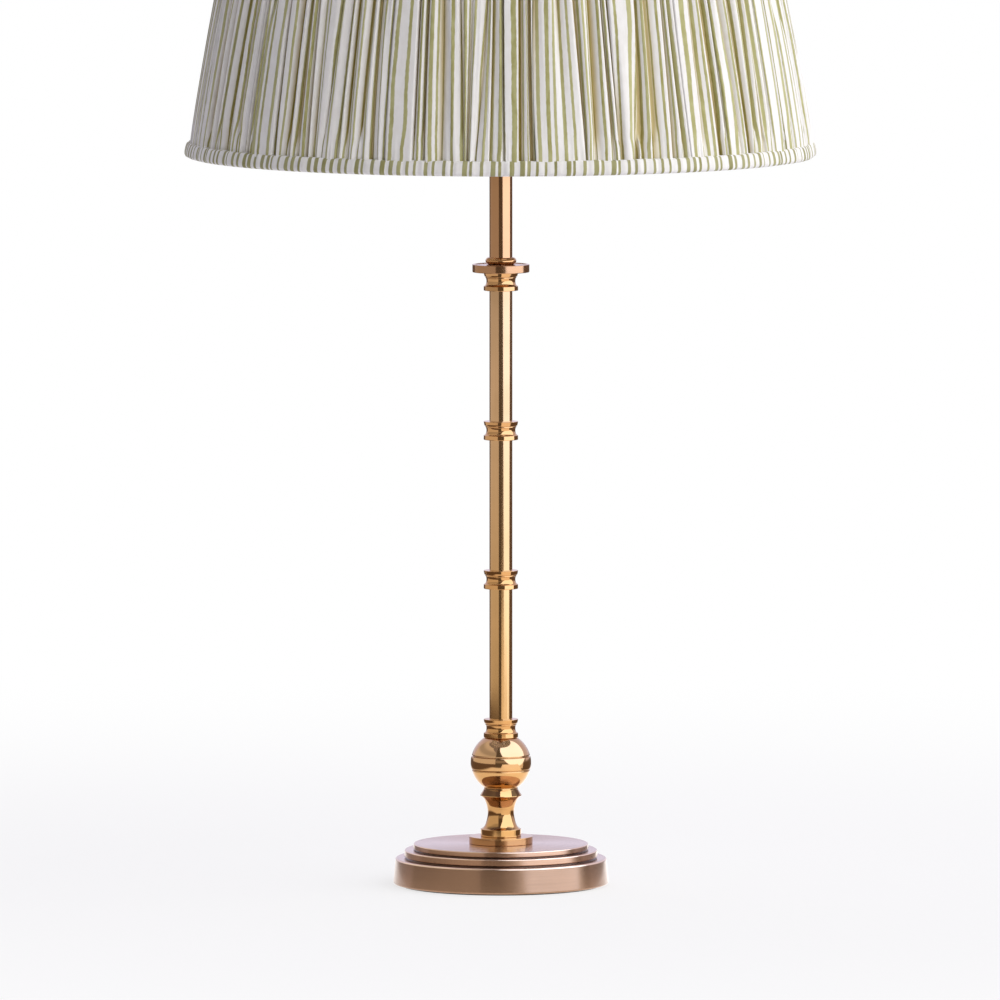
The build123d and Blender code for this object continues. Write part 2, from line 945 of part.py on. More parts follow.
def fold_valley(index):
    """Angle of the valley before a fold. Gathers are never quite even."""
    stray = fold_wander_share * (math.sin(2.3 * index) + 0.6 * math.sin(5.1 * index + 1)) / 1.6
    return 2 * math.pi * (index + stray * (index % fold_count != 0)) / fold_count


def fold_outline(height, depth):
    """Closed outline of the gathered cover at a height: one round crest from each
    sharp valley to the next, as high as its fold is wide."""
    valley = on_cone(shade_crest_radius, height) - depth
    widest = max(fold_valley(index + 1) - fold_valley(index) for index in range(fold_count))

    def point(radius, index, share):
        angle = fold_valley(index) * (1 - share) + fold_valley(index + 1) * share
        return (radius * math.cos(angle), radius * math.sin(angle), height)

    edges = []
    for index in range(fold_count):
        rise = depth * (fold_valley(index + 1) - fold_valley(index)) / widest
        edges.append(
            ThreePointArc(
                point(valley, index, 0),
                point(valley + rise, index, 0.5),
                point(valley, index, 1),
            )
        )
    return Wire(edges)


def cone_shell(inner_reference, outer_reference, bottom, top):
    """Thin cone between two references."""
    return turned(
        path(
            (on_cone(inner_reference, bottom), bottom),
            (on_cone(outer_reference, bottom), bottom),
            (on_cone(outer_reference, top), top),
            (on_cone(inner_reference, top), top),
            (on_cone(inner_reference, bottom), bottom),
        )
    )


def shade_cover():
    """Gathered cotton outside, smooth where it lies on the liner."""
    bottom = shade_bottom + binding_hem + slack
    top = shade_top - binding_hem - slack
    gathered = Solid.make_loft(
        [fold_outline(bottom, fold_depth_bottom), fold_outline(top, fold_depth_top)], ruled=True
    )
    inside = liner_reference + slack
    core = turned(
        path(
            (0, bottom - 1),
            (on_cone(inside, bottom - 1), bottom - 1),
            (on_cone(inside, top + 1), top + 1),
            (0, top + 1),
            (0, bottom - 1),
        )
    )
    return gathered - core


def shade_liner():
    """Stiff white liner that gives the shade its shape."""
    return cone_shell(
        liner_reference - liner_thickness,
        liner_reference,
        lower_wire_height + wire_radius + seat_gap,
        upper_wire_height - wire_radius - seat_gap,
    )


def shade_wire_ring(height):
    return Pos(0, 0, height) * Torus(on_cone(wire_reference, height), wire_radius)


def binding(edge, inward):
    """Striped binding rolled round one end of the shade. inward is the direction,
    up or down, from the shade's edge towards its middle."""
    far = edge + inward * binding_height
    middle = edge + inward * binding_height / 2
    floor = edge + inward * binding_hem
    inner_end = on_cone(wire_reference, edge) - wire_radius - binding_lip

    def crest(height):
        return on_cone(shade_crest_radius, height) + slack

    corner = binding_height / 8
    return turned(
        path(
            (crest(far), far),
            (crest(floor), floor),
            (inner_end, floor),
            (inner_end, edge),
            (crest(edge) + corner, edge),
        ),
        bow(
            (crest(edge) + corner, edge),
            (on_cone(shade_crest_radius, middle) + binding_bulge, middle),
            (crest(far) + corner, far),
        ),
        path((crest(far) + corner, far), (crest(far), far)),
    )


def shade_fitter():
    """Pressed ring that sits between the two shade rings, with a rim for the arms."""
    rim_bottom = fitter_top - fitter_rim_height
    rim_inner = fitter_rim_radius - fitter_rim_wall
    return turned(
        path(
            (fitter_bore_radius, fitter_bottom),
            (rim_inner, fitter_bottom),
            (rim_inner, rim_bottom),
            (fitter_rim_radius, rim_bottom),
            (fitter_rim_radius, fitter_top),
            (fitter_bore_radius, fitter_top),
            (fitter_bore_radius, fitter_bottom),
        )
    )


def shade_arm(index):
    """Wire from the fitter's rim down and out to the shade's lower ring."""
    start_height = fitter_top - fitter_rim_height / 2
    ring_radius = on_cone(wire_reference, lower_wire_height)
    route = FilletPolyline(
        (fitter_rim_radius, 0, start_height),
        (fitter_rim_radius + arm_level_run, 0, start_height),
        (ring_radius - arm_level_run, 0, lower_wire_height),
        (ring_radius, 0, lower_wire_height),
        radius=arm_bend,
    )
    section = Plane(origin=(fitter_rim_radius, 0, start_height), z_dir=(1, 0, 0)) * Circle(arm_radius)
    wire = sweep(section, path=route)
    # Both ends are coped, so that they meet the rim and the ring face to face.
    wire = wire - shade_wire_ring(lower_wire_height)
    wire = wire.solids().sort_by(SortBy.VOLUME)[-1] - shade_fitter()
    wire = wire.solids().sort_by(SortBy.VOLUME)[-1]
    return Rot(0, 0, 90 + 360 * index / arm_count) * wire


# ---- All sub-parts -----------------------------------------------------------------------------------


def build():
    """Every named sub-part, from the table up."""
    nodes = {
        "felt_pad": felt_pad(),
        "cover_plate": cover_plate(),
        "base_shell": base_shell(),
        "ballast": ballast(),
        "cable_bush": cable_bush(),
        "threaded_rod": threaded_rod(),
        "rod_nut": rod_nut(),
        "rod_washer": rod_washer(),
        "foot_disc": foot_disc(),
        "pedestal_waist": pedestal_waist(),
        "knop": knop(),
        "drip_pan": drip_pan(),
        "bead_ring": bead_ring(),
        "candle_tube": candle_tube(),
        "lampholder_dome": lampholder_dome(),
        "lock_screw": lock_screw(),
        "lampholder_core": lampholder_core(),
        "lampholder_skirt": lampholder_skirt(),
        "insulating_sleeve": insulating_sleeve(),
        "bulb_socket": bulb_socket(),
        "centre_contact": centre_contact(),
        "contact_rivet": contact_rivet(),
        "switch_bar": switch_bar(),
        "switch_button_left": switch_button(-1),
        "switch_button_right": switch_button(1),
        "lower_shade_ring": shade_ring(shade_seat, -1),
        "upper_shade_ring": shade_ring(fitter_top + slack, 1),
        "bulb_contact": bulb_contact(),
        "bulb_insulator": bulb_insulator(),
        "bulb_cap": bulb_cap(),
        "bulb_glass": bulb_glass(),
        "shade_cover": shade_cover(),
        "shade_liner": shade_liner(),
        "shade_lower_wire": shade_wire_ring(lower_wire_height),
        "shade_upper_wire": shade_wire_ring(upper_wire_height),
        "shade_lower_binding": binding(shade_bottom, 1),
        "shade_upper_binding": binding(shade_top, -1),
        "shade_fitter": shade_fitter(),
    }
    for index in range(tube_count + 1):
        nodes[f"collar_{index + 1}"] = collar(knop_top + index * collar_pitch)
    for index in range(tube_count):
        nodes[f"stem_tube_{index + 1}"] = stem_tube(index)
    for index in range(arm_count):
        nodes[f"shade_arm_{index + 1}"] = shade_arm(index)
    return nodes


os.makedirs("parts", exist_ok=True)
for name, shape in build().items():
    export_step(shape, f"parts/{name}.step")
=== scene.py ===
"""Looks of the candlestick lamp: turned brass, a gathered striped shade and a plain studio.

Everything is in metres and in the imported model's frame, but the turned outlines are in mm, as
(radius, height above the node's foot). The camera looks along +Y.
"""

import math
from types import SimpleNamespace

import bpy
import numpy as np
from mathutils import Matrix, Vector


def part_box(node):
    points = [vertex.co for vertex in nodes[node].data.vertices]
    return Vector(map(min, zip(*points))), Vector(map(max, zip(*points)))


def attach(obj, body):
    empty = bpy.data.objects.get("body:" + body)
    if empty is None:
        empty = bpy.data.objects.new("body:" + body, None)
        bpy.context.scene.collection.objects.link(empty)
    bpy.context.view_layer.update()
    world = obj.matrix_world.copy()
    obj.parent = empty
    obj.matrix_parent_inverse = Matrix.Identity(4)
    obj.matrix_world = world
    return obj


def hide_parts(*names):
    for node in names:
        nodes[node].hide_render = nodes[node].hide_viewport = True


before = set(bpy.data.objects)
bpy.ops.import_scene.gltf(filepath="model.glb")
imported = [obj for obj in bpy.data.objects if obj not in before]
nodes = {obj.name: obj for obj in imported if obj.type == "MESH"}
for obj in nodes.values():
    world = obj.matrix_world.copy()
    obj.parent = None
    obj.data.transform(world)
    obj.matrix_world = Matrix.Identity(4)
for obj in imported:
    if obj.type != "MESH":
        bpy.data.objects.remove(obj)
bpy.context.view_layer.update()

MM = 0.001

# ---- The photograph's camera ----
CAMERA_DISTANCE = 8.533
CAMERA_HEIGHT = 0.961
CAMERA_AIM = Vector((-0.0005, 0.0, 0.2145))
CAMERA_LENS, SENSOR_WIDTH = 555.5, 36.0  # mm

# ---- Turned pieces, in mm ----
TURNED_STEPS = 144
ARC_STEPS = 5
NEARLY_STRAIGHT = 0.06  # radians: a corner that bends less isn't rounded
ROD_BORE = 5.15  # radius of the hole for the threaded rod
TUBE_WALL = 0.9
LOWER_DRAFT = 1.4  # how far the base's lowest tier leans in
MIDDLE_STEP, UPPER_STEP = 6.2, 5.0  # how far each tier's edge stands inside the one below
MIDDLE_HEIGHT, UPPER_HEIGHT = 4.5, 3.5
UNDERCUT = 1.2  # how far the upper tiers' sides stand out past their feet
TIER_LEAN = 0.35
BASE_SIDE_WALL, BASE_TOP_WALL = 2.5, 3.0

# ---- Brass tones ----
# painted highlight: the bright tint on the base's rounded upper edges
PAINTED_EDGE_HIGHLIGHT = (0.95, 0.70, 0.52)
# painted shade: the dark tint in the corners under the base's upper tiers
PAINTED_CREVICE_SHADE = (0.07, 0.035, 0.027)
# the darker tint near the pedestal's axis: a darker patina there, which also paints shade into the narrow
# parts
RECESS_PATINA_AND_SHADE = (0.27, 0.115, 0.035)
FINE_MARKS = 2600.0  # per metre

# ---- The shade's cloth ----
FOLDS = 132
FOLD_SEED = 7
SAMPLES_PER_FOLD = 20
FINE_SAMPLES = 121  # across each fold, before its columns are set at even steps of cloth
COVER_ROWS = 72
GATHER = 1.50  # cloth width over the shade's girth at the lower binding
DEEPEST_FOLD = 4.6 * MM
STRAY = 0.30  # how far the valleys stray sideways, as a share of a fold
CREST_INSET = 3.1 * MM  # from the bindings' reach to the folds' crests
CREST_SLACK = 0.35 * MM  # how unevenly the crests lie
HEM_REACH = 26 * MM  # how far the hems' small wedges reach into the cover
HEM_FOLD = 0.45 * MM
BULGE = 1.4 * MM  # the cloth stands proud of the straight cone between the hems
TUCK_UNDER_BINDING = 4 * MM
SEAM = math.pi / 2  # the cloth's seams stand at the back
COVER_PITCH, BINDING_PITCH = 4.95 * MM, 5.2 * MM  # from stripe to stripe
DARK_INK, LIGHT_INK, PALE_INK = (0.30, 0.283, 0.098), (0.41, 0.395, 0.185), (0.50, 0.485, 0.26)
CLOTH_WHITES = (0.835, 0.825, 0.815), (0.79, 0.775, 0.755)
# the olive tint of the shade painted into the folds' depths
FOLD_SHADE = (0.68, 0.55, 0.20)
BINDING_STEPS = 2200
BINDING_INSET = 0.45 * MM  # room for the strip's swells inside the CAD's binding
# the binding's section in mm, from its outer folded edge over the shade's edge to the inside
BINDING_SECTION = [
    (-3.2, 8.3), (-1.9, 8.3), (-0.95, 8.1), (-0.45, 7.6), (-0.2, 6.6), (-0.05, 5.4), (0.0, 4.3), (-0.05, 3.0),
    (-0.3, 1.7), (-0.9, 0.75), (-1.9, 0.2), (-3.2, 0.0), (-4.8, 0.0), (-6.3, 0.35), (-7.2, 1.1), (-7.6, 2.2),
    (-7.75, 3.6), (-7.8, 5.2), (-7.85, 6.8), (-7.9, 8.2),
]

# ---- The studio ----
KEY_AZIMUTH, KEY_HALF_WIDTH = 46.0, 36.0  # degrees from the camera's direction, to the right
KEY_LIGHT = (2.12, 2.10, 2.07)
BOX_AZIMUTH, BOX_ELEVATION = 62.0, 30.0  # where polished metal sees the soft box
BOX_DISTANCE, BOX_AIM = 1.0, 0.08  # its distance from the axis at this height
BOX_SHIFT, BOX_HALF_WIDTH, BOX_UP, BOX_DOWN = 0.02, 1.08, 1.15, 0.85
KEY_IN_METAL = (2.4, 2.85, 3.7)
REFLECTOR_DISTANCE = 0.45
REFLECTOR_FROM, REFLECTOR_TO = -130.0, -21.0  # degrees of azimuth
REFLECTOR_LOW, REFLECTOR_HIGH = 0.058, 0.75
REFLECTOR_LEAN = 25.0  # degrees that its right end turns away, between these heights
LEAN_FROM, LEAN_TO = 0.40, 0.70
# dark cards, seen only in reflections, that paint dark reflections on the waist and the knop's underside
FLAG_GAP_FROM, FLAG_GAP_TO, FLAG_ENDS = -3.0, 48.0, 125.0  # degrees of azimuth
FLAG_INNER, FLAG_OUTER, FLAG_HEIGHT = 0.0115, 0.040, 0.0556
FLOOR_GAP = 0.05 * MM  # below the felt
# the table that polished metal sees round the lamp
TABLE_FRONT, TABLE_LEFT, TABLE_RIGHT, TABLE_BACK = 0.25, 0.17, 0.16, 0.5
TABLE_FRONT_SLOPE = 8.0  # how steeply its front edge runs forward to the right of the lamp
TABLE_RIGHT_SLOPE = 2.2  # how steeply its right edge runs outward in front of the lamp


# ---- Shader tools ----


class Graph:
    """A node tree with short calls for adding and linking nodes."""

    def __init__(self, tree):
        self.tree = tree
        tree.nodes.clear()

    def add(self, kind, sockets=None, **settings):
        node = self.tree.nodes.new("ShaderNode" + kind)
        for key, value in settings.items():
            setattr(node, key, value)
        for key, value in (sockets or {}).items():
            self.put(node.inputs[key], value)
        return node

    def put(self, socket, value):
        if isinstance(value, bpy.types.Node):
            value = value.outputs[0]
        if isinstance(value, bpy.types.NodeSocket):
            self.tree.links.new(value, socket)
        elif socket.type == "RGBA" and len(value) == 3:
            socket.default_value = (*value, 1.0)
        else:
            socket.default_value = value

    def math(self, operation, a, b=0.0):
        return self.add("Math", {0: a, 1: b}, operation=operation)

    def times(self, *factors):
        product, *others = factors
        for factor in others:
            product = self.math("MULTIPLY", product, factor)
        return product

    def plus(self, a, b):
        return self.math("ADD", a, b)

    def minus(self, a, b):
        return self.math("SUBTRACT", a, b)

    def length(self, a, b):
        return self.math("SQRT", self.plus(self.math("POWER", a, 2.0), self.math("POWER", b, 2.0)))

    def ramp(self, value, start, end, low_value=0.0, high_value=1.0):
        """Smooth step of value from start to end."""
        return self.add(
            "MapRange",
            {"Value": value, "From Min": start, "From Max": end, "To Min": low_value, "To Max": high_value},
            interpolation_type="SMOOTHSTEP",
        )

    def mix(self, share, a, b, blend="MIX"):
        node = self.add("Mix", data_type="RGBA", blend_type=blend)
        self.put(node.inputs[0], share)
        self.put(node.inputs[6], a)
        self.put(node.inputs[7], b)
        return node.outputs[2]

    def noise(self, vector, scale, detail=2.0, roughness=0.5):
        sockets = {"Vector": vector, "Scale": scale, "Detail": detail, "Roughness": roughness}
        return self.add("TexNoise", sockets).outputs["Fac"]

    def combine(self, x=0.0, y=0.0, z=0.0):
        return self.add("CombineXYZ", {"X": x, "Y": y, "Z": z})

    def split(self, vector):
        return tuple(self.add("SeparateXYZ", {0: vector}).outputs)

    def position(self):
        return self.add("TexCoord").outputs["Object"]

    def turned_coordinates(self):
        """(angle round the lamp's axis, distance from it, height), and the plain position."""
        position = self.position()
        x, y, z = self.split(position)
        return self.math("ARCTAN2", y, x), self.length(x, y), z, position

    def emission(self, colour, strength=1.0):
        return self.add("Emission", {"Color": colour, "Strength": strength})

    def blend(self, share, first, second):
        """The first shader where share is 0, the second where it is 1."""
        return self.add("MixShader", {0: share, 1: first, 2: second})

    def surface(self, shader):
        self.add("OutputMaterial", {"Surface": shader})


def new_material(name):
    material = bpy.data.materials.new(name)
    material.use_nodes = True
    return material, Graph(material.node_tree)


def finish_material(graph, **sockets):
    sockets = {key.replace("_", " "): value for key, value in sockets.items()}
    graph.surface(graph.add("BsdfPrincipled", sockets))


def give(material, *names):
    """Puts the material on every slot of these CAD nodes."""
    for name in names:
        mesh = nodes[name].data
        mesh.materials.clear()
        mesh.materials.append(material)


# ---- Mesh tools ----


def round_the_axis(radius, turn, height):
    """Points round the lamp's axis. The turn is in radians from +X."""
    return np.stack(np.broadcast_arrays(radius * np.cos(turn), radius * np.sin(turn), height), axis=-1)


def from_camera_side(degrees):
    """The turn of an azimuth, which counts from the camera's side to the right."""
    return np.radians(degrees) - math.pi / 2


def grid(rows, columns, first=0):
    """Vertex numbers of a grid."""
    return first + np.arange(rows * columns).reshape(rows, columns)


def quads(index):
    """The faces between neighbouring rows and columns of a grid of vertex numbers."""
    corners = index[:-1, :-1], index[:-1, 1:], index[1:, 1:], index[1:, :-1]
    return np.stack(corners, axis=-1).reshape(-1, 4).tolist()


def mesh_object(name, points, faces):
    """A new object in the scene."""
    mesh = bpy.data.meshes.new(name)
    mesh.from_pydata(np.reshape(points, (-1, 3)).tolist(), [], faces)
    made = bpy.data.objects.new(name, mesh)
    bpy.context.scene.collection.objects.link(made)
    return made


def size_of(node):
    """(radius, height) of a turned CAD node, in mm."""
    box_low, box_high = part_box(node)
    return box_high.x / MM, (box_high.z - box_low.z) / MM


# The base's tiers: their radii, and the heights of the lower two's tops above the shell's foot.
base_radius, base_height = size_of("base_shell")
shoulder_radius = base_radius - LOWER_DRAFT
middle_radius = base_radius - MIDDLE_STEP
upper_radius = middle_radius - UPPER_STEP
middle_top = base_height - UPPER_HEIGHT
lower_top = middle_top - MIDDLE_HEIGHT


# ---- Brass ----


def paint_light_and_shade(graph, tint, painted_lit_tops, shaded_corners, radius, height):
    """The tint with painted light: lighter on what faces up, a painted highlight on the upper edges and
    painted shade in the corners.
    """
    upward = graph.split(graph.add("NewGeometry").outputs["Normal"])[2]
    # painted light: what faces up gets a lighter tint
    tint = graph.mix(graph.ramp(upward, 0.4, 0.95), tint, painted_lit_tops)
    # painted highlight: the rounded upper edges get a bright tint
    edge = graph.times(graph.ramp(upward, 0.12, 0.35), graph.ramp(upward, 0.86, 0.98, 0.85, 0.0))
    tint = graph.mix(edge, tint, PAINTED_EDGE_HIGHLIGHT)
    # painted shade in the corners under the upper tiers' undercuts
    for corner_radius, corner_height in shaded_corners:
        away = graph.length(graph.minus(radius, corner_radius), graph.minus(height, corner_height))
        tint = graph.mix(graph.ramp(away, 0.4 * MM, 1.5 * MM, 0.85, 0.0), tint, PAINTED_CREVICE_SHADE)
    return tint


def brass(name, tones, rough, brushed, drift=(0.0, 1.0), recess=None, drawn=False, coat=0.0, stretch=0.0,
          painted_lit_tops=None, shaded_corners=()):
    """Antique brass, with fine marks that run round the piece, or along it when it is drawn.

    tones holds one tint, or two, and between the two heights in drift the first becomes the second.
    painted_lit_tops is a lighter tint painted on what faces up, as if lit from above, and with it come
    painted highlights on the upper edges; shaded_corners holds (radius, height) of corners painted dark with
    shade; and recess = (radius, radius, share) darkens the piece nearer the axis, a darker patina that also
    paints shade into the narrow parts. stretch draws the highlights out.
    """
    material, graph = new_material(name)
    angle, radius, height, position = graph.turned_coordinates()
    tint = graph.mix(graph.ramp(height, *drift), tones[0], tones[-1])
    # painted light and shade: lighter tops, highlighted edges and shaded corners
    if painted_lit_tops:
        tint = paint_light_and_shade(graph, tint, painted_lit_tops, shaded_corners, radius, height)
    dark = tuple(0.55 * part for part in tones[0])
    clouds = graph.ramp(graph.noise(position, 45.0, 3.0), 0.35, 0.75, 0.0, 0.22)
    tint = graph.mix(clouds, tint, dark)
    if recess:
        # darker near the axis: patina, and painted shade in the narrow parts
        inner, outer, share = recess
        tint = graph.mix(graph.ramp(radius, inner, outer, share, 0.0), tint, RECESS_PATINA_AND_SHADE)
    if drawn:
        along = graph.combine(graph.times(angle, 28.0), 0.0, graph.times(height, 16.0))
    else:
        fine_radius, fine_height = graph.times(radius, FINE_MARKS), graph.times(height, FINE_MARKS)
        along = graph.combine(graph.times(angle, 1.2), fine_radius, fine_height)
    marks = graph.noise(along, 1.0, 3.0, 0.65)
    tint = graph.mix(graph.ramp(marks, 0.3, 0.7, 0.0, 0.25 * brushed), tint, dark)
    roughness = graph.ramp(marks, 0.25, 0.75, rough * 0.85, rough * 1.15)
    settings = dict(Base_Color=tint, Metallic=1.0, Roughness=roughness, Coat_Weight=coat, Coat_Roughness=0.06)
    if not drawn:
        bump = {"Height": marks, "Strength": 0.10 * brushed, "Distance": 0.02 * MM}
        settings["Normal"] = graph.add("Bump", bump)
    if stretch:
        settings["Anisotropic"] = stretch
        settings["Anisotropic_Rotation"] = 0.25
        settings["Tangent"] = graph.add("Tangent", direction_type="RADIAL", axis="Z")
    finish_material(graph, **settings)
    return material


def base_tones():
    """The settings of the base's brass that follow its shape: where its tint changes and the corners where
    shade is painted.
    """
    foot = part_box("base_shell")[0].z
    edge = foot + lower_top * MM
    # corners that get painted shade, under the upper tiers' undercuts
    corners = [
        ((radius - UNDERCUT + 0.1) * MM, foot + (top + 0.3) * MM)
        for radius, top in ((middle_radius, lower_top), (upper_radius, middle_top))
    ]
    return dict(drift=(edge - 0.5 * MM, edge + 0.5 * MM), shaded_corners=corners)


stem_brass = brass(
    "stem_brass", [(0.52, 0.295, 0.118), (0.52, 0.318, 0.172)], 0.125, 0.5, drift=(0.10, 0.32), drawn=True
)
collar_brass = brass(
    "collar_brass", [(0.53, 0.275, 0.10), (0.53, 0.285, 0.12)], 0.07, 0.2, drift=(0.10, 0.32)
)
pedestal_brass = brass(
    "pedestal_brass",
    [(0.58, 0.32, 0.12), (0.56, 0.34, 0.18)],
    0.08,
    0.2,
    drift=(0.058, 0.078),
    # a darker tint near the axis: patina, and painted shade in the waist and cone
    recess=(8.0 * MM, 13.0 * MM, 0.25),
)
foot_brass = brass("foot_brass", [(0.52, 0.28, 0.12)], 0.09, 0.5)
# darker towards its top: painted shade under the lamp shade
candle_brass = brass(
    "candle_brass", [(0.52, 0.27, 0.13), (0.47, 0.245, 0.115)], 0.10, 0.5, drift=(0.345, 0.40), drawn=True
)
bead_brass = brass("bead_brass", [(0.52, 0.26, 0.10)], 0.08, 0.2)
pan_brass = brass("pan_brass", [(0.46, 0.24, 0.12)], 0.16, 0.6, stretch=0.6)
base_brass = brass(
    "base_brass",
    [(0.325, 0.185, 0.108), (0.43, 0.235, 0.135)],
    0.21,
    1.0,
    coat=0.3,
    stretch=0.85,
    # a lighter tint painted on what faces up, as if lit from above
    painted_lit_tops=(0.50, 0.29, 0.19),
    **base_tones(),
)
holder_brass = brass("holder_brass", [(0.58, 0.38, 0.16)], 0.2, 0.6)
give(holder_brass, "lampholder_dome", "lampholder_skirt", "lower_shade_ring", "upper_shade_ring")
give(holder_brass, "bulb_socket", "centre_contact", "contact_rivet")


# ---- Turned brass pieces ----


def rounded(points, blend):
    """The closed outline with each corner rounded off. A point may carry its own radius as a third number."""
    outline = []
    for i, point in enumerate(points):
        here = np.array(point[:2], float)
        radius = point[2] if len(point) > 2 else blend
        back = np.array(points[i - 1][:2], float) - here
        ahead = np.array(points[(i + 1) % len(points)][:2], float) - here
        back_run, ahead_run = np.linalg.norm(back), np.linalg.norm(ahead)
        back, ahead = back / back_run, ahead / ahead_run
        half = math.acos(float(np.clip(back @ ahead, -1, 1))) / 2
        if radius <= 0 or math.pi / 2 - half < NEARLY_STRAIGHT:
            outline.append(here)
            continue
        cut = min(radius / math.tan(half), 0.45 * back_run, 0.45 * ahead_run)
        start, end = here + back * cut, here + ahead * cut
        # a rational quadratic through the corner is an exact arc
        for t in np.linspace(0, 1, ARC_STEPS + 1):
            first, corner, last = (1 - t) ** 2, 2 * t * (1 - t) * math.sin(half), t * t
            outline.append((first * start + corner * here + last * end) / (first + corner + last))
    return np.array(outline)


def smooth_curve(points, steps=5):
    """Points along a smooth curve through the given ones."""
    p = np.array([points[0], *points, points[-1]], float)
    curve = []
    for before, start, end, after in zip(p, p[1:], p[2:], p[3:]):
        bend = 2 * before - 5 * start + 4 * end - after
        twist = 3 * start - before - 3 * end + after
        for t in np.arange(steps) / steps:
            curve.append(start + 0.5 * ((end - before) * t + bend * t**2 + twist * t**3))
    curve.append(p[-2])
    return [(float(radius), float(height), 0.0) for radius, height in curve]


def cut_hole(piece, cutter):
    """Cuts the cutter's shape out of the piece."""
    cut = piece.modifiers.new("hole", "BOOLEAN")
    cut.operation, cut.solver, cut.object = "DIFFERENCE", "EXACT", cutter
    bpy.context.view_layer.update()
    whole = piece.data
    piece.data = bpy.data.meshes.new_from_object(piece.evaluated_get(bpy.context.evaluated_depsgraph_get()))
    piece.modifiers.clear()
    bpy.data.meshes.remove(whole)
    bpy.data.meshes.remove(cutter.data)


def turned_piece(node, outline, material, blend=0.25, cutter=None):
    """A finely turned solid for a CAD node, with its corners rounded off by blend."""
    section = rounded(outline, blend)
    turns = np.linspace(0, 2 * math.pi, TURNED_STEPS, endpoint=False)
    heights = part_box(node)[0].z + section[:, 1:] * MM
    points = round_the_axis(section[:, :1] * MM, turns, heights)
    closed = np.pad(grid(len(section), TURNED_STEPS), ((0, 1), (0, 1)), mode="wrap")
    piece = mesh_object(node + "_turned", points, quads(closed))
    piece.data.shade_smooth()
    piece.data.materials.append(material)
    if cutter:
        cut_hole(piece, cutter)
    piece.modifiers.new("crisp_flats", "WEIGHTED_NORMAL").weight = 80
    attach(piece, "lamp")
    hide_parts(node)


def turned_tube(node, material):
    radius, height = size_of(node)
    inner = radius - TUBE_WALL
    turned_piece(node, [(inner, 0), (radius, 0), (radius, height), (inner, height)], material, 0.15)


def turned_collar(node):
    """Reel-shaped collar: flared flanges, a small ring below the upper one and a hollow neck."""
    radius, height = size_of(node)
    neck = smooth_curve([(8.85, 2.75), (8.35, 3.4), (8.05, 4.6), (8.05, 5.7), (8.3, 6.9)])
    ring_radius, ring_bottom, ring_top = 8.6, 7.05, 7.5
    bevel = 0.12
    outline = [
        (ROD_BORE, 0, 0.1),
        (radius - bevel, 0),
        (radius, 0.25),
        (radius - 0.05, 2.4),
        (9.1, 2.6, 0.1),
        *neck,
        (ring_radius, ring_bottom, 0.1),
        (ring_radius, ring_top, 0.1),
        (ring_radius - 0.15, ring_top + 0.15, 0.0),
        (radius - 0.45, 7.95),
        (radius - 0.25, 8.6),
        (radius, height - 0.15),
        (radius - bevel, height),
        (ROD_BORE, height, 0.1),
    ]
    turned_piece(node, outline, collar_brass, bevel)


def bush_hole():
    """A rod along +Y through the base's wall, where the cable bush sits."""
    box_low, box_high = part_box("cable_bush")
    height = (box_low.z + box_high.z) / 2
    radius, inside, outside = 4.0 * MM, 50 * MM, 62 * MM
    sides = 48
    turns = np.linspace(0, 2 * math.pi, sides, endpoint=False)
    across, up = radius * np.cos(turns), height + radius * np.sin(turns)
    points = [np.stack(np.broadcast_arrays(across, y, up), axis=-1) for y in (inside, outside)]
    faces = [(i, sides + i, sides + (i + 1) % sides, (i + 1) % sides) for i in range(sides)]
    faces += [tuple(range(sides)), tuple(reversed(range(sides, 2 * sides)))]
    return mesh_object("bush_hole", points, faces)


def turned_base():
    """The base: three tiers with sides that lean in a little, crisp upper edges and an undercut foot."""
    plate, ledge = shoulder_radius - 1.3, 2.0
    middle_foot, upper_foot = middle_radius - UNDERCUT, upper_radius - UNDERCUT
    lower_cavity, upper_cavity = shoulder_radius - BASE_SIDE_WALL, upper_foot - BASE_SIDE_WALL
    middle_cavity = upper_cavity + 4.6
    lower_ceiling, middle_ceiling = lower_top - BASE_TOP_WALL, middle_top - BASE_TOP_WALL
    upper_ceiling = base_height - BASE_TOP_WALL
    outline = [
        (plate, 0, 0.1),
        (base_radius, 0, 0.9),
        (shoulder_radius, lower_top, 1.1),
        (middle_foot, lower_top, 0.1),
        (middle_foot, lower_top + 0.5, 0.15),
        (middle_radius, lower_top + 0.9, 0.5),
        (middle_radius - TIER_LEAN, middle_top, 0.7),
        (upper_foot, middle_top, 0.1),
        (upper_foot, middle_top + 0.4, 0.15),
        (upper_radius, middle_top + 0.7, 0.4),
        (upper_radius - TIER_LEAN, base_height, 0.6),
        (ROD_BORE, base_height, 0.1),
        (ROD_BORE, upper_ceiling, 0.1),
        (upper_cavity, upper_ceiling, 0.1),
        (upper_cavity, middle_ceiling, 0.1),
        (middle_cavity, middle_ceiling, 0.1),
        (middle_cavity, lower_ceiling, 0.1),
        (lower_cavity, lower_ceiling, 0.1),
        (lower_cavity, ledge, 0.1),
        (plate, ledge, 0.1),
    ]
    turned_piece("base_shell", outline, base_brass, cutter=bush_hole())


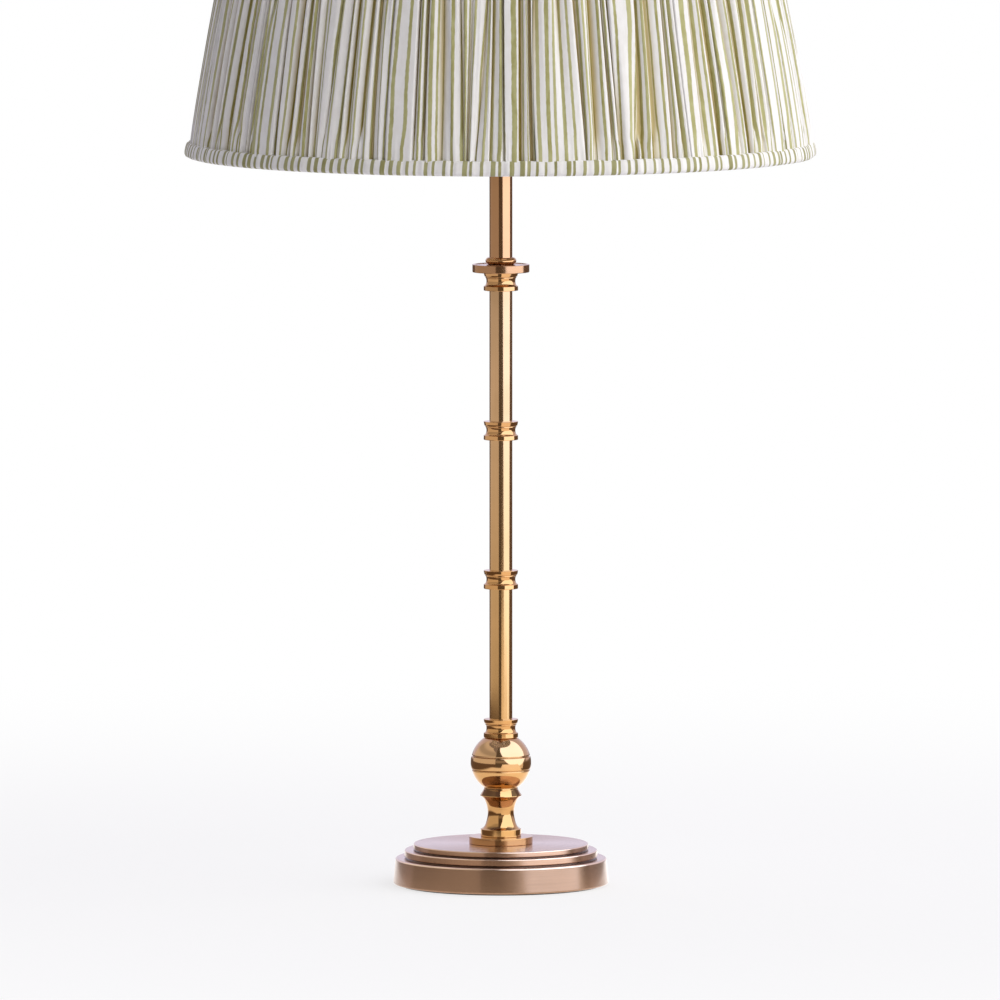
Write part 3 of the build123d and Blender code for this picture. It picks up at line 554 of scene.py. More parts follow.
def turned_knop():
    """A ball with a band round its middle between two grooves."""
    radius, height = size_of("knop")
    middle, band, groove, proud = 14.1, 6.8, 0.7, 0.12
    foot_radius = 9.5
    sphere, half = radius - proud, band / 2

    def ball(start, end, count=22):
        """Points on the sphere between two heights from its middle."""
        turns = np.linspace(math.asin(start / sphere), math.asin(end / sphere), count + 1)
        return [(sphere * math.cos(turn), middle + sphere * math.sin(turn), 0.0) for turn in turns]

    edge = math.sqrt(sphere**2 - half**2)
    groove_bottom = edge - 0.75
    foot = math.sqrt(sphere**2 - (foot_radius - 0.25) ** 2)
    belt = [(r + proud + 0.05, z, 0.0) for r, z, _ in ball(-half + 0.2, half - 0.2, 10)]
    outline = [
        (ROD_BORE, 0, 0.1),
        (foot_radius, 0.0, 0.1),
        *ball(-foot, -half - groove),
        (groove_bottom, middle - half - groove * 0.8, 0.15),
        (groove_bottom, middle - half - groove * 0.3, 0.15),
        (edge + proud, middle - half, 0.12),
        *belt,
        (edge + proud, middle + half, 0.12),
        (groove_bottom, middle + half + groove * 0.3, 0.15),
        (groove_bottom, middle + half + groove * 0.8, 0.15),
        *ball(half + groove, height - middle),
        (ROD_BORE, height, 0.1),
    ]
    turned_piece("knop", outline, pedestal_brass, 0.15)


def turned_waist():
    """A plain ring, a hollow waist and a sharp ridge under the knop."""
    height = size_of("pedestal_waist")[1]
    ring_radius, ring_height = 11.25, 4.1
    waist = smooth_curve([
        (10.3, 4.4), (9.2, 5.5), (8.55, 6.8), (7.95, 8.6), (7.4, 11.6),
        (7.35, 13.8), (7.6, 15.8), (8.05, 17.8), (9.25, 20.6), (11.2, 22.5),
    ])
    outline = [
        (ROD_BORE, 0, 0.1),
        (ring_radius, 0),
        (ring_radius, ring_height, 0.3),
        (10.3, 4.4, 0.2),
        *waist[1:],
        (11.45, 22.7, 0.08),
        (11.4, 23.0, 0.08),
        (9.4, 26.3, 0.12),
        (9.25, height, 0.1),
        (ROD_BORE, height, 0.1),
    ]
    turned_piece("pedestal_waist", outline, pedestal_brass)


def turned_foot():
    radius, height = size_of("foot_disc")
    outline = [
        (ROD_BORE, 0, 0.1),
        (radius, 0),
        (radius, height),
        (radius - 1.5, height, 0.0),
        (ROD_BORE, height, 0.1),
    ]
    turned_piece("foot_disc", outline, foot_brass, 0.35)


def turned_pan():
    """The drip pan: a flat rim round a shallow dish, on a spigot."""
    radius, height = size_of("drip_pan")
    foot = height - 4.3  # the spigot below the pan
    rim, dish, spigot = radius - 1.2, 0.3, 6.35
    outline = [
        (ROD_BORE, 0, 0.1),
        (spigot, 0),
        (spigot, foot, 0.05),
        (radius - 0.15, foot),
        (radius, foot + 0.3),
        (radius, height),
        (rim, height, 0.15),
        (rim - dish, height - dish, 0.3),
        (spigot + 1.8, height - dish, 0.3),
        (spigot + 1.6, height, 0.2),
        (ROD_BORE, height, 0.1),
    ]
    turned_piece("drip_pan", outline, pan_brass, 0.15)


def turned_bead():
    """The half-round bead that the candle tube stands in."""
    radius, height = size_of("bead_ring")
    half = height / 2
    turns = np.linspace(-math.pi / 2, math.pi / 2, 15)
    bead = [(radius - half + half * math.cos(turn), half + half * math.sin(turn), 0.0) for turn in turns]
    socket, floor = 6.45, height - 1.5
    outline = [
        (ROD_BORE, 0, 0.1),
        *bead,
        (socket, height, 0.1),
        (socket, floor, 0.05),
        (ROD_BORE, floor, 0.05),
    ]
    turned_piece("bead_ring", outline, bead_brass, 0.2)


for number in (1, 2, 3):
    turned_tube(f"stem_tube_{number}", stem_brass)
turned_tube("candle_tube", candle_brass)
for number in (1, 2, 3, 4):
    turned_collar(f"collar_{number}")
turned_base()
turned_knop()
turned_waist()
turned_foot()
turned_pan()
turned_bead()

# ---- Plainer materials ----

# name, its two tones, patches per metre, roughness, grains per metre, their depth in mm, metallic, its nodes
PLAIN = [
    ("felt", (0.030, 0.034, 0.030), (0.055, 0.060, 0.052), 900, 0.95, 2500, 0.3, 0.0, ["felt_pad"]),
    ("plate_steel", (0.45, 0.45, 0.44), (0.38, 0.38, 0.37), 60, 0.45, 1200, 0.02, 1.0, ["cover_plate"]),
    ("iron", (0.10, 0.095, 0.09), (0.16, 0.10, 0.07), 80, 0.7, 500, 0.2, 0.6, ["ballast"]),
    ("zinc_steel", (0.60, 0.59, 0.55), (0.52, 0.51, 0.46), 200, 0.35, 900, 0.02, 1.0,
     ["threaded_rod", "rod_nut", "rod_washer", "lock_screw"]),
    ("bush_black", (0.012, 0.012, 0.013), (0.022, 0.022, 0.024), 400, 0.45, 1500, 0.02, 0.0, ["cable_bush"]),
    ("porcelain", (0.78, 0.76, 0.70), (0.70, 0.67, 0.60), 90, 0.25, 500, 0.02, 0.0,
     ["lampholder_core", "insulating_sleeve"]),
    ("switch_black", (0.02, 0.02, 0.02), (0.035, 0.033, 0.03), 300, 0.35, 900, 0.01, 0.0,
     ["switch_bar", "switch_button_left", "switch_button_right"]),
    ("bulb_metal", (0.66, 0.66, 0.68), (0.56, 0.57, 0.60), 250, 0.25, 700, 0.01, 1.0,
     ["bulb_cap", "bulb_contact"]),
    ("bulb_black", (0.01, 0.01, 0.012), (0.02, 0.02, 0.02), 300, 0.2, 700, 0.01, 0.0, ["bulb_insulator"]),
    ("bulb_opal", (0.86, 0.86, 0.85), (0.82, 0.82, 0.80), 60, 0.12, 400, 0.005, 0.0, ["bulb_glass"]),
    ("liner_card", (0.80, 0.79, 0.76), (0.76, 0.75, 0.71), 120, 0.6, 1800, 0.02, 0.0, ["shade_liner"]),
    ("frame_white", (0.78, 0.78, 0.76), (0.70, 0.70, 0.67), 150, 0.4, 800, 0.02, 0.0,
     ["shade_lower_wire", "shade_upper_wire", "shade_fitter", "shade_arm_1", "shade_arm_2", "shade_arm_3"]),
]


def plain(name, colour, other, patches, rough, grains, depth, metallic):
    """A material whose colour drifts between two tones, with a fine noise bump."""
    material, graph = new_material(name)
    position = graph.position()
    tone = graph.mix(graph.ramp(graph.noise(position, patches, 4.0), 0.3, 0.7), colour, other)
    grain = graph.noise(position, grains, 3.0)
    bump = graph.add("Bump", {"Height": grain, "Strength": 0.6, "Distance": depth * MM})
    finish_material(graph, Base_Color=tone, Roughness=rough, Metallic=metallic, Normal=bump)
    return material


for *settings, names in PLAIN:
    give(plain(*settings), *names)


# ---- Striped cloth ----


def striped_cloth(name, pitch, slant, gather_shade, ink, narrowest, widest):
    """Off-white cotton printed with sage stripes. The map called Cloth holds the cloth's own metres.

    gather_shade is the strength of the shade painted into the folds' depths, ink scales how light the print
    is, and narrowest and widest are half a stripe as a share of the pitch.
    """
    material, graph = new_material(name)
    across, along, _ = graph.split(graph.add("UVMap", uv_map="Cloth"))

    def noise_at(across_scale, along_scale, layer, detail):
        spot = graph.combine(graph.times(across, across_scale), graph.times(along, along_scale), layer)
        return graph.noise(spot, 1.0, detail)

    wobble = graph.times(graph.minus(noise_at(60.0, 28.0, 0.0, 2.0), 0.5), 1.1 * MM)
    ragged = graph.times(graph.minus(noise_at(900.0, 260.0, 3.0, 2.0), 0.5), 0.45 * MM)
    place = graph.plus(graph.plus(across, wobble), graph.plus(ragged, graph.times(along, slant)))
    by_pitch = {"W": graph.math("DIVIDE", place, pitch), "Scale": 1.0, "Randomness": 0.55}
    cells = graph.add("TexVoronoi", by_pitch, voronoi_dimensions="1D")
    width_lot, tone_lot = graph.add("SeparateColor", {0: cells.outputs["Color"]}).outputs[:2]
    half_width = graph.ramp(width_lot, 0.0, 1.0, narrowest, widest)
    softness = 0.03
    inner, outer = graph.minus(half_width, softness), graph.plus(half_width, softness)
    stripe = graph.ramp(cells.outputs["Distance"], inner, outer, 1.0, 0.0)

    patchy = graph.ramp(noise_at(500.0, 120.0, 9.0, 3.0), 0.3, 0.7)
    dark, light, pale = (tuple(ink * part for part in tone) for tone in (DARK_INK, LIGHT_INK, PALE_INK))
    green = graph.mix(graph.ramp(tone_lot, 0.0, 1.0, 0.0, 0.55), graph.mix(patchy, dark, light), pale)
    colour = graph.mix(stripe, graph.mix(patchy, *CLOTH_WHITES), green)
    if gather_shade:
        # painted shade: the deeper a point lies in its fold, the darker and more olive it is
        depth = graph.add("Attribute", attribute_name="Depth").outputs["Fac"]
        colour = graph.mix(graph.ramp(depth, 0.30, 1.0, 0.0, gather_shade), colour, FOLD_SHADE, "MULTIPLY")
    weave = noise_at(2400.0, 2400.0, 0.0, 1.0)
    finish_material(
        graph,
        Base_Color=colour,
        Roughness=0.85,
        Sheen_Weight=0.25,
        Sheen_Roughness=0.5,
        Specular_IOR_Level=0.25,
        Normal=graph.add("Bump", {"Height": weave, "Strength": 0.35, "Distance": 0.12 * MM}),
    )
    return material


def cloth_ring(name, flat, angle, reach, height, across, along, depth=None):
    """A sheet of cloth round the lamp's axis, closed at its seam.

    across and along, from 0 to 1, say where each point lies on the flat cut, and depth says how deep
    it lies in its fold.
    """
    points = round_the_axis(reach, angle, height)
    points[:, -1] = points[:, 0]
    faces = quads(grid(*points.shape[:2]))
    piece = mesh_object(name, points, faces)
    on_cut = np.stack(np.broadcast_arrays(across, along), axis=-1)
    for title, size in (("Cloth", flat), ("OFBake", (1.0, 1.0))):
        layer = piece.data.uv_layers.new(name=title)
        corners = (on_cut * size).reshape(-1, 2)[np.ravel(faces)]
        layer.data.foreach_set("uv", corners.astype(np.float32).ravel())
    if depth is not None:
        attribute = piece.data.attributes.new("Depth", "FLOAT", "POINT")
        attribute.data.foreach_set("value", depth.astype(np.float32).ravel())
    piece.data.shade_smooth()
    return piece


def smoothstep(start, end, value):
    t = np.clip((value - start) / (end - start), 0, 1)
    return t * t * (3 - 2 * t)


def waves(count, seed, angle, height=0.0, turns=(1, 9), climb=(0.3, 1.6)):
    """A sum of waves round the shade and up it, between about -1 and 1.

    turns and climb are the ranges of their counts in a turn and of their lean with the height.
    """
    own = np.random.default_rng(seed)
    total = 0.0
    for _ in range(count):
        k = own.integers(*turns)
        rise = own.uniform(*climb) * height * own.choice([-1, 1])
        total = total + np.sin(k * angle + rise + own.uniform(0, 2 * math.pi))
    return total / math.sqrt(count / 2)


# The CAD's bindings give the cone: its reach below and above, and the heights of the cover's two hems.
lower_low, lower_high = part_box("shade_lower_binding")
upper_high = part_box("shade_upper_binding")[1]
shade_bottom, shade_top = lower_low.z, upper_high.z
binding_height = lower_high.z - lower_low.z
hem_low, hem_high = shade_bottom + binding_height, shade_top - binding_height


def crest_radius(height):
    """Radius of the folds' crests on the cone, with the crests just inside the bindings."""
    share = (height - hem_low) / (hem_high - hem_low)
    bulge = BULGE * np.sin(math.pi * np.clip(share, 0, 1) ** 0.7)
    return lower_high.x - CREST_INSET + share * (upper_high.x - lower_high.x) + bulge


# ---- The gathered cover ----
# Its arrays run over (row, fold, place across the fold).

PLACE = np.linspace(0, 1, FINE_SAMPLES)
EVEN = np.arange(SAMPLES_PER_FOLD) / SAMPLES_PER_FOLD


def cover_rows():
    """Heights of the cover's rows, from its tuck below to its tuck above, finer near the hems."""
    bottom, top = hem_low - TUCK_UNDER_BINDING, hem_high + TUCK_UNDER_BINDING
    turn = np.cos(math.pi * np.linspace(0, 1, COVER_ROWS))
    share = 0.5 - 0.5 * turn * (0.55 + 0.45 * np.abs(turn))
    return (bottom + share * (top - bottom))[:, None, None]


def draw_folds():
    """What each fold gets by lot."""
    rng = np.random.default_rng(FOLD_SEED)
    lot = (1, FOLDS, 1)
    width = rng.uniform(0.55, 1.45, lot)
    floor = rng.uniform(0.0, 1.0, lot) ** 2.5 * 0.30 + 0.02
    crest = rng.uniform(0.16, 0.42, lot)
    crest = np.where(rng.uniform(0, 1, lot) < 0.5, crest, 1 - crest)
    return SimpleNamespace(
        width=width,
        floor=floor,
        crest=crest,
        ripple_turns=rng.uniform(1.2, 2.8, lot),
        ripple_phase=rng.uniform(0, 6.28, lot),
        ripple_size=rng.uniform(0.0, 0.12, lot),
        fullness=rng.uniform(0.85, 1.15, lot),
        wedge=np.where(rng.uniform(0, 1, lot) < 0.7, rng.uniform(0.35, 0.9, lot), 0.0),
        wedge_reach=rng.uniform(0.6, 1.4, lot),
    )


def fold_profile(folds, edge, share):
    """How far each fold stands out across its width, from 0 in the valleys to 1 at its crest."""
    crest = np.clip(folds.crest + 0.07 * waves(3, 12, edge * 5, share * 4), 0.14, 0.86)
    floor = np.clip(folds.floor * (1 + 0.7 * waves(3, 13, edge * 4, share * 3)), 0.01, 0.36)
    inside = np.clip((PLACE - floor / 2) / (1 - floor), 0, 1)
    rising = inside < crest
    climb = np.where(rising, inside / crest, (1 - inside) / (1 - crest))
    sharpness = 1.5 + 0.9 * np.where(rising, crest, 1 - crest)
    ripple = np.sin(2 * math.pi * (folds.ripple_turns * PLACE + share) + folds.ripple_phase)
    profile = 1 - (1 - climb) ** sharpness + folds.ripple_size * ripple * smoothstep(0.15, 0.5, climb)
    # round the crest and the valley off
    soft = np.array([1, 4, 6, 4, 1]) / 16
    padded = np.pad(profile, ((0, 0), (0, 0), (2, 2)), mode="edge")
    profile = sum(weight * padded[:, :, i : i + FINE_SAMPLES] for i, weight in enumerate(soft))
    profile = profile - profile.min(axis=2, keepdims=True)
    return profile / profile.max(axis=2, keepdims=True)


def fold_depth(profile, fold_width, fold_cloth):
    """The depth that makes each fold as long as its own cloth, found by halving and smoothed up the fold."""
    step = fold_width / (FINE_SAMPLES - 1)
    rises = np.diff(profile, axis=2)
    shallow, deep = np.zeros_like(step), np.full_like(step, DEEPEST_FOLD)
    for _ in range(25):
        depth = (shallow + deep) / 2
        length = np.sqrt(step**2 + (depth * rises) ** 2).sum(axis=2, keepdims=True)
        too_short = length < fold_cloth
        shallow, deep = np.where(too_short, depth, shallow), np.where(too_short, deep, depth)
    for _ in range(2):
        depth[1:-1] = (depth[:-2] + 2 * depth[1:-1] + depth[2:]) / 4
    return depth


def gather_hems(inward, folds, edge, rows, profile):
    """At the hems a small wedge of cloth splits many of the valleys, and small folds ride on all."""
    near_low = 1 - smoothstep(hem_low - 1 * MM, hem_low + HEM_REACH, rows)
    near_high = smoothstep(hem_high - HEM_REACH, hem_high + 1 * MM, rows)
    uneven = 1 + 0.25 * waves(4, 15, edge * 7, turns=(2, 12))
    near = np.clip((near_low + near_high) * uneven, 0, 1)
    # the wedge in the fold's own valley, then the one in the next fold's
    for from_valley, shift in ((PLACE, 0), (1 - PLACE, -1)):
        wedge, reach = (np.roll(lot, shift, axis=1) for lot in (folds.wedge, folds.wedge_reach))
        rise = near ** (1.6 / reach)
        spread = 0.04 + 0.14 * rise
        inward = inward * (1 - wedge * smoothstep(0.0, 1.0, rise) * np.exp(-((from_valley / spread) ** 2)))
    drift = 0.3 * np.sin(2 * math.pi * PLACE + folds.ripple_phase)
    small = 0.5 - 0.5 * np.cos(2 * math.pi * (3 * PLACE + drift))
    return inward + near**2 * HEM_FOLD * small * profile


def even_columns(angle, inward, radius):
    """Each fold's columns at even steps along its own cloth, so that the stripes stay with it."""
    inward[:, :, -1] = np.roll(inward[:, :, 0], -1, axis=1)
    reach = radius - inward
    x, y = reach * np.cos(angle), reach * np.sin(angle)
    run = np.cumsum(np.hypot(np.diff(x, axis=2), np.diff(y, axis=2)), axis=2)
    run = np.concatenate([np.zeros((COVER_ROWS, FOLDS, 1)), run], axis=2) / run[:, :, -1:]
    even = np.zeros((2, COVER_ROWS, FOLDS, SAMPLES_PER_FOLD))
    for row, fold in np.ndindex(COVER_ROWS, FOLDS):
        even[0, row, fold] = np.interp(EVEN, run[row, fold], angle[row, fold])
        even[1, row, fold] = np.interp(EVEN, run[row, fold], inward[row, fold])
    angle, inward = even.reshape(2, COVER_ROWS, -1)
    closed_angle = np.concatenate([angle, angle[:, :1] + 2 * math.pi], axis=1)
    return closed_angle, np.concatenate([inward, inward[:, :1]], axis=1)


def cover_cloth():
    """The gathered cover: one cut of cloth, its folds as deep as its spare width needs at each height."""
    folds = draw_folds()
    rows = cover_rows()
    share = (rows - hem_low) / (hem_high - hem_low)
    radius = crest_radius(rows)
    flat_width = GATHER * 2 * math.pi * crest_radius(hem_low)
    fold_cloth = folds.width / folds.width.sum() * folds.fullness
    fold_cloth *= flat_width / fold_cloth.sum()

    # each fold starts at its valley, which strays as it climbs
    edge = (np.cumsum(folds.width, axis=1) - folds.width) / folds.width.sum() * 2 * math.pi
    valley = edge + STRAY * 2 * math.pi / FOLDS * waves(5, 11, edge * 6, share * 3)
    fold_angle = np.concatenate([valley[:, 1:], valley[:, :1] + 2 * math.pi], axis=1) - valley
    angle = valley + fold_angle * PLACE

    profile = fold_profile(folds, edge, share)
    inward = (1 - profile) * fold_depth(profile, fold_angle * radius, fold_cloth)
    inward = gather_hems(inward, folds, edge, rows, profile)
    inward = inward + CREST_SLACK * (1 + waves(5, 14, angle, share * 4, (3, 16), (0.5, 2.0))) / 2
    angle, inward = even_columns(angle, inward, radius)

    cloth = fold_cloth.ravel()
    starts = np.cumsum(cloth) - cloth
    across = np.append((starts[:, None] + EVEN * cloth[:, None]).ravel() / flat_width, 1.0)
    heights = rows[:, :, 0]
    along = (heights - heights[0]) / (heights[-1] - heights[0])
    slope = math.hypot(1, (crest_radius(hem_low) - crest_radius(hem_high)) / (hem_high - hem_low))
    flat = (flat_width, float(heights[-1, 0] - heights[0, 0]) * slope)
    # depth drives the shade painted into the folds
    reach, depth = radius[:, :, 0] - inward, inward / DEEPEST_FOLD
    return cloth_ring("cover_cloth", flat, angle + SEAM, reach, heights, across, along, depth), flat


cover, cover_flat = cover_cloth()
# 0.85 is the strength of the shade painted into the cover's folds
cover.data.materials.append(striped_cloth("striped_cover", COVER_PITCH, 0.0, 0.85, 1.05, 0.12, 0.24))
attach(cover, "shade")
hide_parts("shade_cover")


def binding_cloth(name, node, upward, seed):
    """A strip of the cloth rolled over the shade's edge: outer face, rounded edge, inner face."""
    box_low, box_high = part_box(node)
    across = np.linspace(0, 1, BINDING_STEPS + 1)[None, :]
    angle = 2 * math.pi * across + SEAM
    out, up = (np.array(BINDING_SECTION) * MM).T[:, :, None]
    outer = smoothstep(-4.5 * MM, -0.5 * MM, out)
    pucker = 0.16 * MM * waves(10, seed, angle, up * 60, (60, 260), (0.0, 1.0))
    swell = 0.22 * MM * waves(6, seed + 1, angle, up * 20, (8, 40), (0.0, 1.0))
    lift = 0.18 * MM * waves(8, seed + 2, angle, turns=(25, 130)) * smoothstep(5 * MM, 9 * MM, up)
    reach = box_high.x - BINDING_INSET + out + (pucker + swell) * outer
    height = up + lift * outer
    if upward:
        height = box_high.z - box_low.z - height
    else:
        taper = (crest_radius(shade_bottom) - crest_radius(shade_top)) / (shade_top - shade_bottom)
        reach = reach - height * taper
    steps = np.hypot(np.diff(out, axis=0), np.diff(up, axis=0))
    along = np.concatenate([[[0.0]], np.cumsum(steps, axis=0)])
    flat = (2 * math.pi * box_high.x, float(along[-1, 0]))
    return cloth_ring(name, flat, angle, reach, box_low.z + height, across, along / along[-1]), flat


binding_material = striped_cloth("striped_binding", BINDING_PITCH, 0.04, 0.0, 0.82, 0.14, 0.27)
for name, node, upward, seed in (
    ("lower_binding_cloth", "shade_lower_binding", False, 21),
    ("upper_binding_cloth", "shade_upper_binding", True, 31),
):
    binding, flat = binding_cloth(name, node, upward, seed)
    binding.data.materials.append(binding_material)
    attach(binding, "shade")
    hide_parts(node)


# ---- Studio ----


def studio_world():
    """White for the camera. Everything else sees soft panels round the lamp, painted by direction."""
    world = bpy.data.worlds.new("studio")
    bpy.context.scene.world = world
    world.use_nodes = True
    graph = Graph(world.node_tree)
    x, y, z = graph.split(graph.add("TexCoord").outputs["Generated"])
    azimuth = graph.times(graph.math("ARCTAN2", x, graph.times(y, -1.0)), 180 / math.pi)
    elevation = graph.times(graph.math("ARCSINE", z), 180 / math.pi)

    def panel(left, right, bottom, top, soft):
        return graph.times(
            graph.ramp(azimuth, left - soft, left + soft),
            graph.ramp(azimuth, right - soft, right + soft, 1.0, 0.0),
            graph.ramp(elevation, bottom - soft, bottom + soft),
            graph.ramp(elevation, top - soft, top + soft, 1.0, 0.0),
        )

    light_path = graph.add("LightPath").outputs
    all_rays, glossy = 1.0, light_path["Is Glossy Ray"]
    matt = graph.minus(1.0, glossy)
    # left, right, bottom, top and softness in degrees, the rays that see the panel, and its light
    panels = [
        (-20.0, 27.0, -70.0, 78.0, 2.0, all_rays, (0.17, 0.15, 0.13)),
        (-20.0, 27.0, 2.5, 13.0, 1.5, all_rays, (0.44, 0.41, 0.38)),
        (-122.0, -33.0, -20.0, 60.0, 3.0, matt, (0.30, 0.30, 0.315)),
        (60.0, 112.0, -14.0, 66.0, 4.0, matt, (2.0, 1.98, 1.95)),
        (60.0, 94.0, -16.0, -1.5, 1.5, glossy, (1.25, 1.22, 1.2)),
        (60.0, 94.0, 14.0, 66.0, 1.5, glossy, (1.25, 1.22, 1.2)),
        (KEY_AZIMUTH - KEY_HALF_WIDTH, KEY_AZIMUTH + KEY_HALF_WIDTH, -5.0, 60.0, 8.0, matt, KEY_LIGHT),
    ]
    colour = graph.mix(graph.ramp(elevation, -4.0, 4.0), (0.20, 0.15, 0.12), (0.38, 0.36, 0.38))
    behind = graph.ramp(graph.math("ABSOLUTE", azimuth), 108.0, 116.0)
    colour = graph.mix(graph.times(behind, graph.ramp(elevation, -1.0, 3.0)), colour, (0.90, 0.86, 1.04))
    for *place, seen_by, light in panels:
        colour = graph.mix(graph.times(panel(*place), seen_by), colour, light)
    lit = graph.add("Background", {"Color": colour, "Strength": 1.0})
    white = graph.add("Background", {"Color": (1.0, 1.0, 1.0), "Strength": 1.0})
    graph.add("OutputWorld", {"Surface": graph.blend(light_path["Is Camera Ray"], lit, white)})


def show_to_metal_alone(card, material):
    """Gives a card its material, and hides it from all rays but the glossy ones."""
    card.visible_camera = card.visible_diffuse = card.visible_shadow = card.visible_transmission = False
    material.cycles.emission_sampling = "NONE"
    card.data.materials.append(material)


def soft_box():
    """The soft box to the right of the camera, as polished metal sees it: round below, squarer above."""
    across, up = math.radians(BOX_AZIMUTH), math.radians(BOX_ELEVATION)
    half = 1.25 * BOX_UP
    corners = [(-half, -half, 0), (half, -half, 0), (half, half, 0), (-half, half, 0)]
    box = mesh_object("soft_box", corners, [(0, 1, 2, 3)])
    facing = Vector((math.cos(up) * math.sin(across), -math.cos(up) * math.cos(across), math.sin(up)))
    box.location = Vector((0, 0, BOX_AIM)) + BOX_DISTANCE * facing
    box.rotation_mode = "QUATERNION"
    box.rotation_quaternion = facing.to_track_quat("Z", "Y")
    material, graph = new_material("soft_box")
    x, y, _ = graph.split(graph.position())
    side = graph.math("ABSOLUTE", graph.math("DIVIDE", graph.plus(x, BOX_SHIFT), BOX_HALF_WIDTH))
    above = graph.math("MAXIMUM", graph.math("DIVIDE", y, BOX_UP), 0.0)
    below = graph.math("MAXIMUM", graph.math("DIVIDE", y, -BOX_DOWN), 0.0)
    fourth = graph.plus(graph.math("POWER", side, 4.0), graph.math("POWER", above, 4.0))
    squarer, rounder = graph.math("POWER", fourth, 0.25), graph.length(side, below)
    is_above = graph.math("GREATER_THAN", y, 0.0)
    reach = graph.add("Mix", {0: is_above, 2: rounder, 3: squarer}, data_type="FLOAT")
    inside = graph.ramp(reach, 0.94, 1.03, 1.0, 0.0)
    graph.surface(graph.blend(inside, graph.add("BsdfTransparent"), graph.emission(KEY_IN_METAL)))
    show_to_metal_alone(box, material)


def dark_reflection_card():
    """Dark cards low on both sides, seen only in reflections: they paint dark reflections on the knop's
    underside and the waist, which see them from below.
    """
    columns = 16
    points, faces = [], []
    for begin, stop in ((-FLAG_ENDS, FLAG_GAP_FROM), (FLAG_GAP_TO, FLAG_ENDS)):
        turns = from_camera_side(np.linspace(begin, stop, columns + 1))
        faces += quads(grid(2, columns + 1, first=len(points)))
        for radius in (FLAG_OUTER, FLAG_INNER):
            points += [*round_the_axis(radius, turns, FLAG_HEIGHT)]
    card = mesh_object("dark_reflection_card", points, faces)
    material, graph = new_material("dark_reflection_card")
    fade = graph.ramp(graph.turned_coordinates()[1], 0.45 * FLAG_OUTER, FLAG_OUTER, 0.9, 0.0)
    under = graph.times(graph.add("NewGeometry").outputs["Backfacing"], fade)
    # their undersides glow faintly dark: a painted dark reflection
    graph.surface(graph.blend(under, graph.add("BsdfTransparent"), graph.emission((0.15, 0.13, 0.19))))
    show_to_metal_alone(card, material)


def left_reflector():
    """A curved white card to the left, as polished metal sees it. The base's side looks out below it."""
    columns, rows = 32, 12
    turns = from_camera_side(np.linspace(REFLECTOR_FROM, REFLECTOR_TO, columns + 1))
    heights = np.linspace(REFLECTOR_LOW, REFLECTOR_HIGH, rows + 1)[:, None]
    lean = math.radians(REFLECTOR_LEAN) * smoothstep(LEAN_FROM, LEAN_TO, heights)
    points = round_the_axis(REFLECTOR_DISTANCE, turns - lean * np.linspace(0, 1, columns + 1), heights)
    card = mesh_object("left_reflector", points, quads(grid(rows + 1, columns + 1)))
    material, graph = new_material("left_reflector")
    height = graph.split(graph.position())[2]
    dim = graph.ramp(height, 0.24, 0.34, 1.0, 0.66)
    again = graph.ramp(height, 0.40, 0.60, 0.0, 0.34)
    graph.surface(graph.emission((1.0, 0.98, 0.95), graph.plus(dim, again)))
    show_to_metal_alone(card, material)


def table_in_metal(graph, x, y):
    """1 where polished metal sees a bright table round the lamp, 0 past its edges."""
    forward = graph.math("MAXIMUM", graph.times(y, -1.0), 0.0)
    rightward = graph.math("MAXIMUM", x, 0.0)
    right_reach = graph.minus(x, graph.times(forward, TABLE_RIGHT_SLOPE))
    front_reach = graph.plus(y, graph.times(rightward, TABLE_FRONT_SLOPE))
    return graph.times(
        graph.ramp(x, -TABLE_LEFT - 0.05, -TABLE_LEFT + 0.05),
        graph.ramp(right_reach, TABLE_RIGHT - 0.04, TABLE_RIGHT + 0.04, 1.0, 0.0),
        graph.ramp(front_reach, -TABLE_FRONT - 0.05, -TABLE_FRONT + 0.05),
        graph.ramp(y, TABLE_BACK - 0.02, TABLE_BACK + 0.02, 1.0, 0.0),
    )


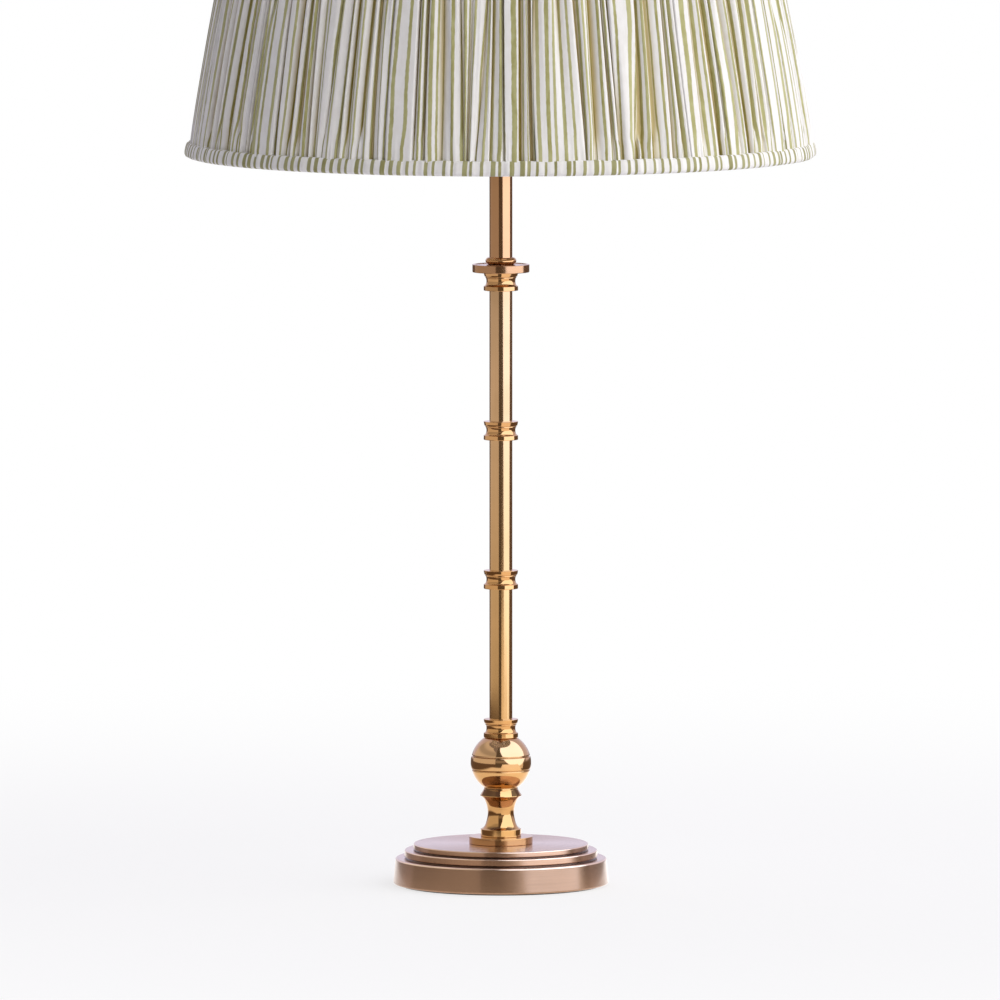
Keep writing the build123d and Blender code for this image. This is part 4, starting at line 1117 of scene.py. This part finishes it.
def studio_floor():
    """A white disc that fades into the background and keeps a soft shadow of the lamp."""
    rings, spokes, reach = 24, 96, 1.6
    radii = np.linspace(0, 1, rings + 1)[:0:-1, None] ** 1.5 * reach
    turns = np.linspace(0, 2 * math.pi, spokes, endpoint=False)
    points = round_the_axis(radii, turns, 0.0).reshape(-1, 3)
    round_index = np.pad(grid(rings, spokes), ((0, 0), (0, 1)), mode="wrap")
    middle, innermost = len(points), round_index[-1]
    fan = [(middle, int(a), int(b)) for a, b in zip(innermost, innermost[1:])]
    floor = mesh_object("floor", [*points, (0.0, 0.0, 0.0)], quads(round_index) + fan)
    floor.location.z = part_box("felt_pad")[0].z - FLOOR_GAP
    material, graph = new_material("floor_white")
    _, radius, _, position = graph.turned_coordinates()
    x, y, _ = graph.split(position)
    plain_white = graph.add("BsdfDiffuse", {"Color": (0.86, 0.855, 0.87)})
    nothing = graph.add("BsdfTransparent")
    far = graph.ramp(radius, 0.25, 1.2, 0.72, 1.0)
    for_camera = graph.blend(far, plain_white, graph.emission((1.0, 1.0, 1.0)))
    # seen from below, the floor is left out
    under = graph.add("NewGeometry").outputs["Backfacing"]
    for_camera = graph.blend(under, for_camera, nothing)
    # for glossy rays the table glows, brighter to the right: a painted reflection of a table lit from the
    # right
    brighter_right = graph.ramp(x, -0.05, 0.12, 1.7, 2.3)
    table = graph.blend(0.6, plain_white, graph.emission((1.0, 0.99, 0.97), brighter_right))
    for_metal = graph.blend(table_in_metal(graph, x, y), nothing, table)
    light_path = graph.add("LightPath").outputs
    others = graph.blend(light_path["Is Glossy Ray"], plain_white, for_metal)
    graph.surface(graph.blend(light_path["Is Camera Ray"], others, for_camera))
    floor.data.materials.append(material)


def photograph_camera():
    data = bpy.data.cameras.new("camera")
    data.lens = CAMERA_LENS
    data.sensor_width = SENSOR_WIDTH
    data.clip_end = 100.0
    camera = bpy.data.objects.new("camera", data)
    bpy.context.scene.collection.objects.link(camera)
    camera.location = (CAMERA_AIM.x, -CAMERA_DISTANCE, CAMERA_HEIGHT)
    camera.rotation_mode = "QUATERNION"
    camera.rotation_quaternion = (CAMERA_AIM - camera.location).to_track_quat("-Z", "Y")
    bpy.context.scene.camera = camera


studio_world()
soft_box()
left_reflector()
dark_reflection_card()
studio_floor()
photograph_camera()
bpy.context.scene.view_settings.view_transform = "Standard"
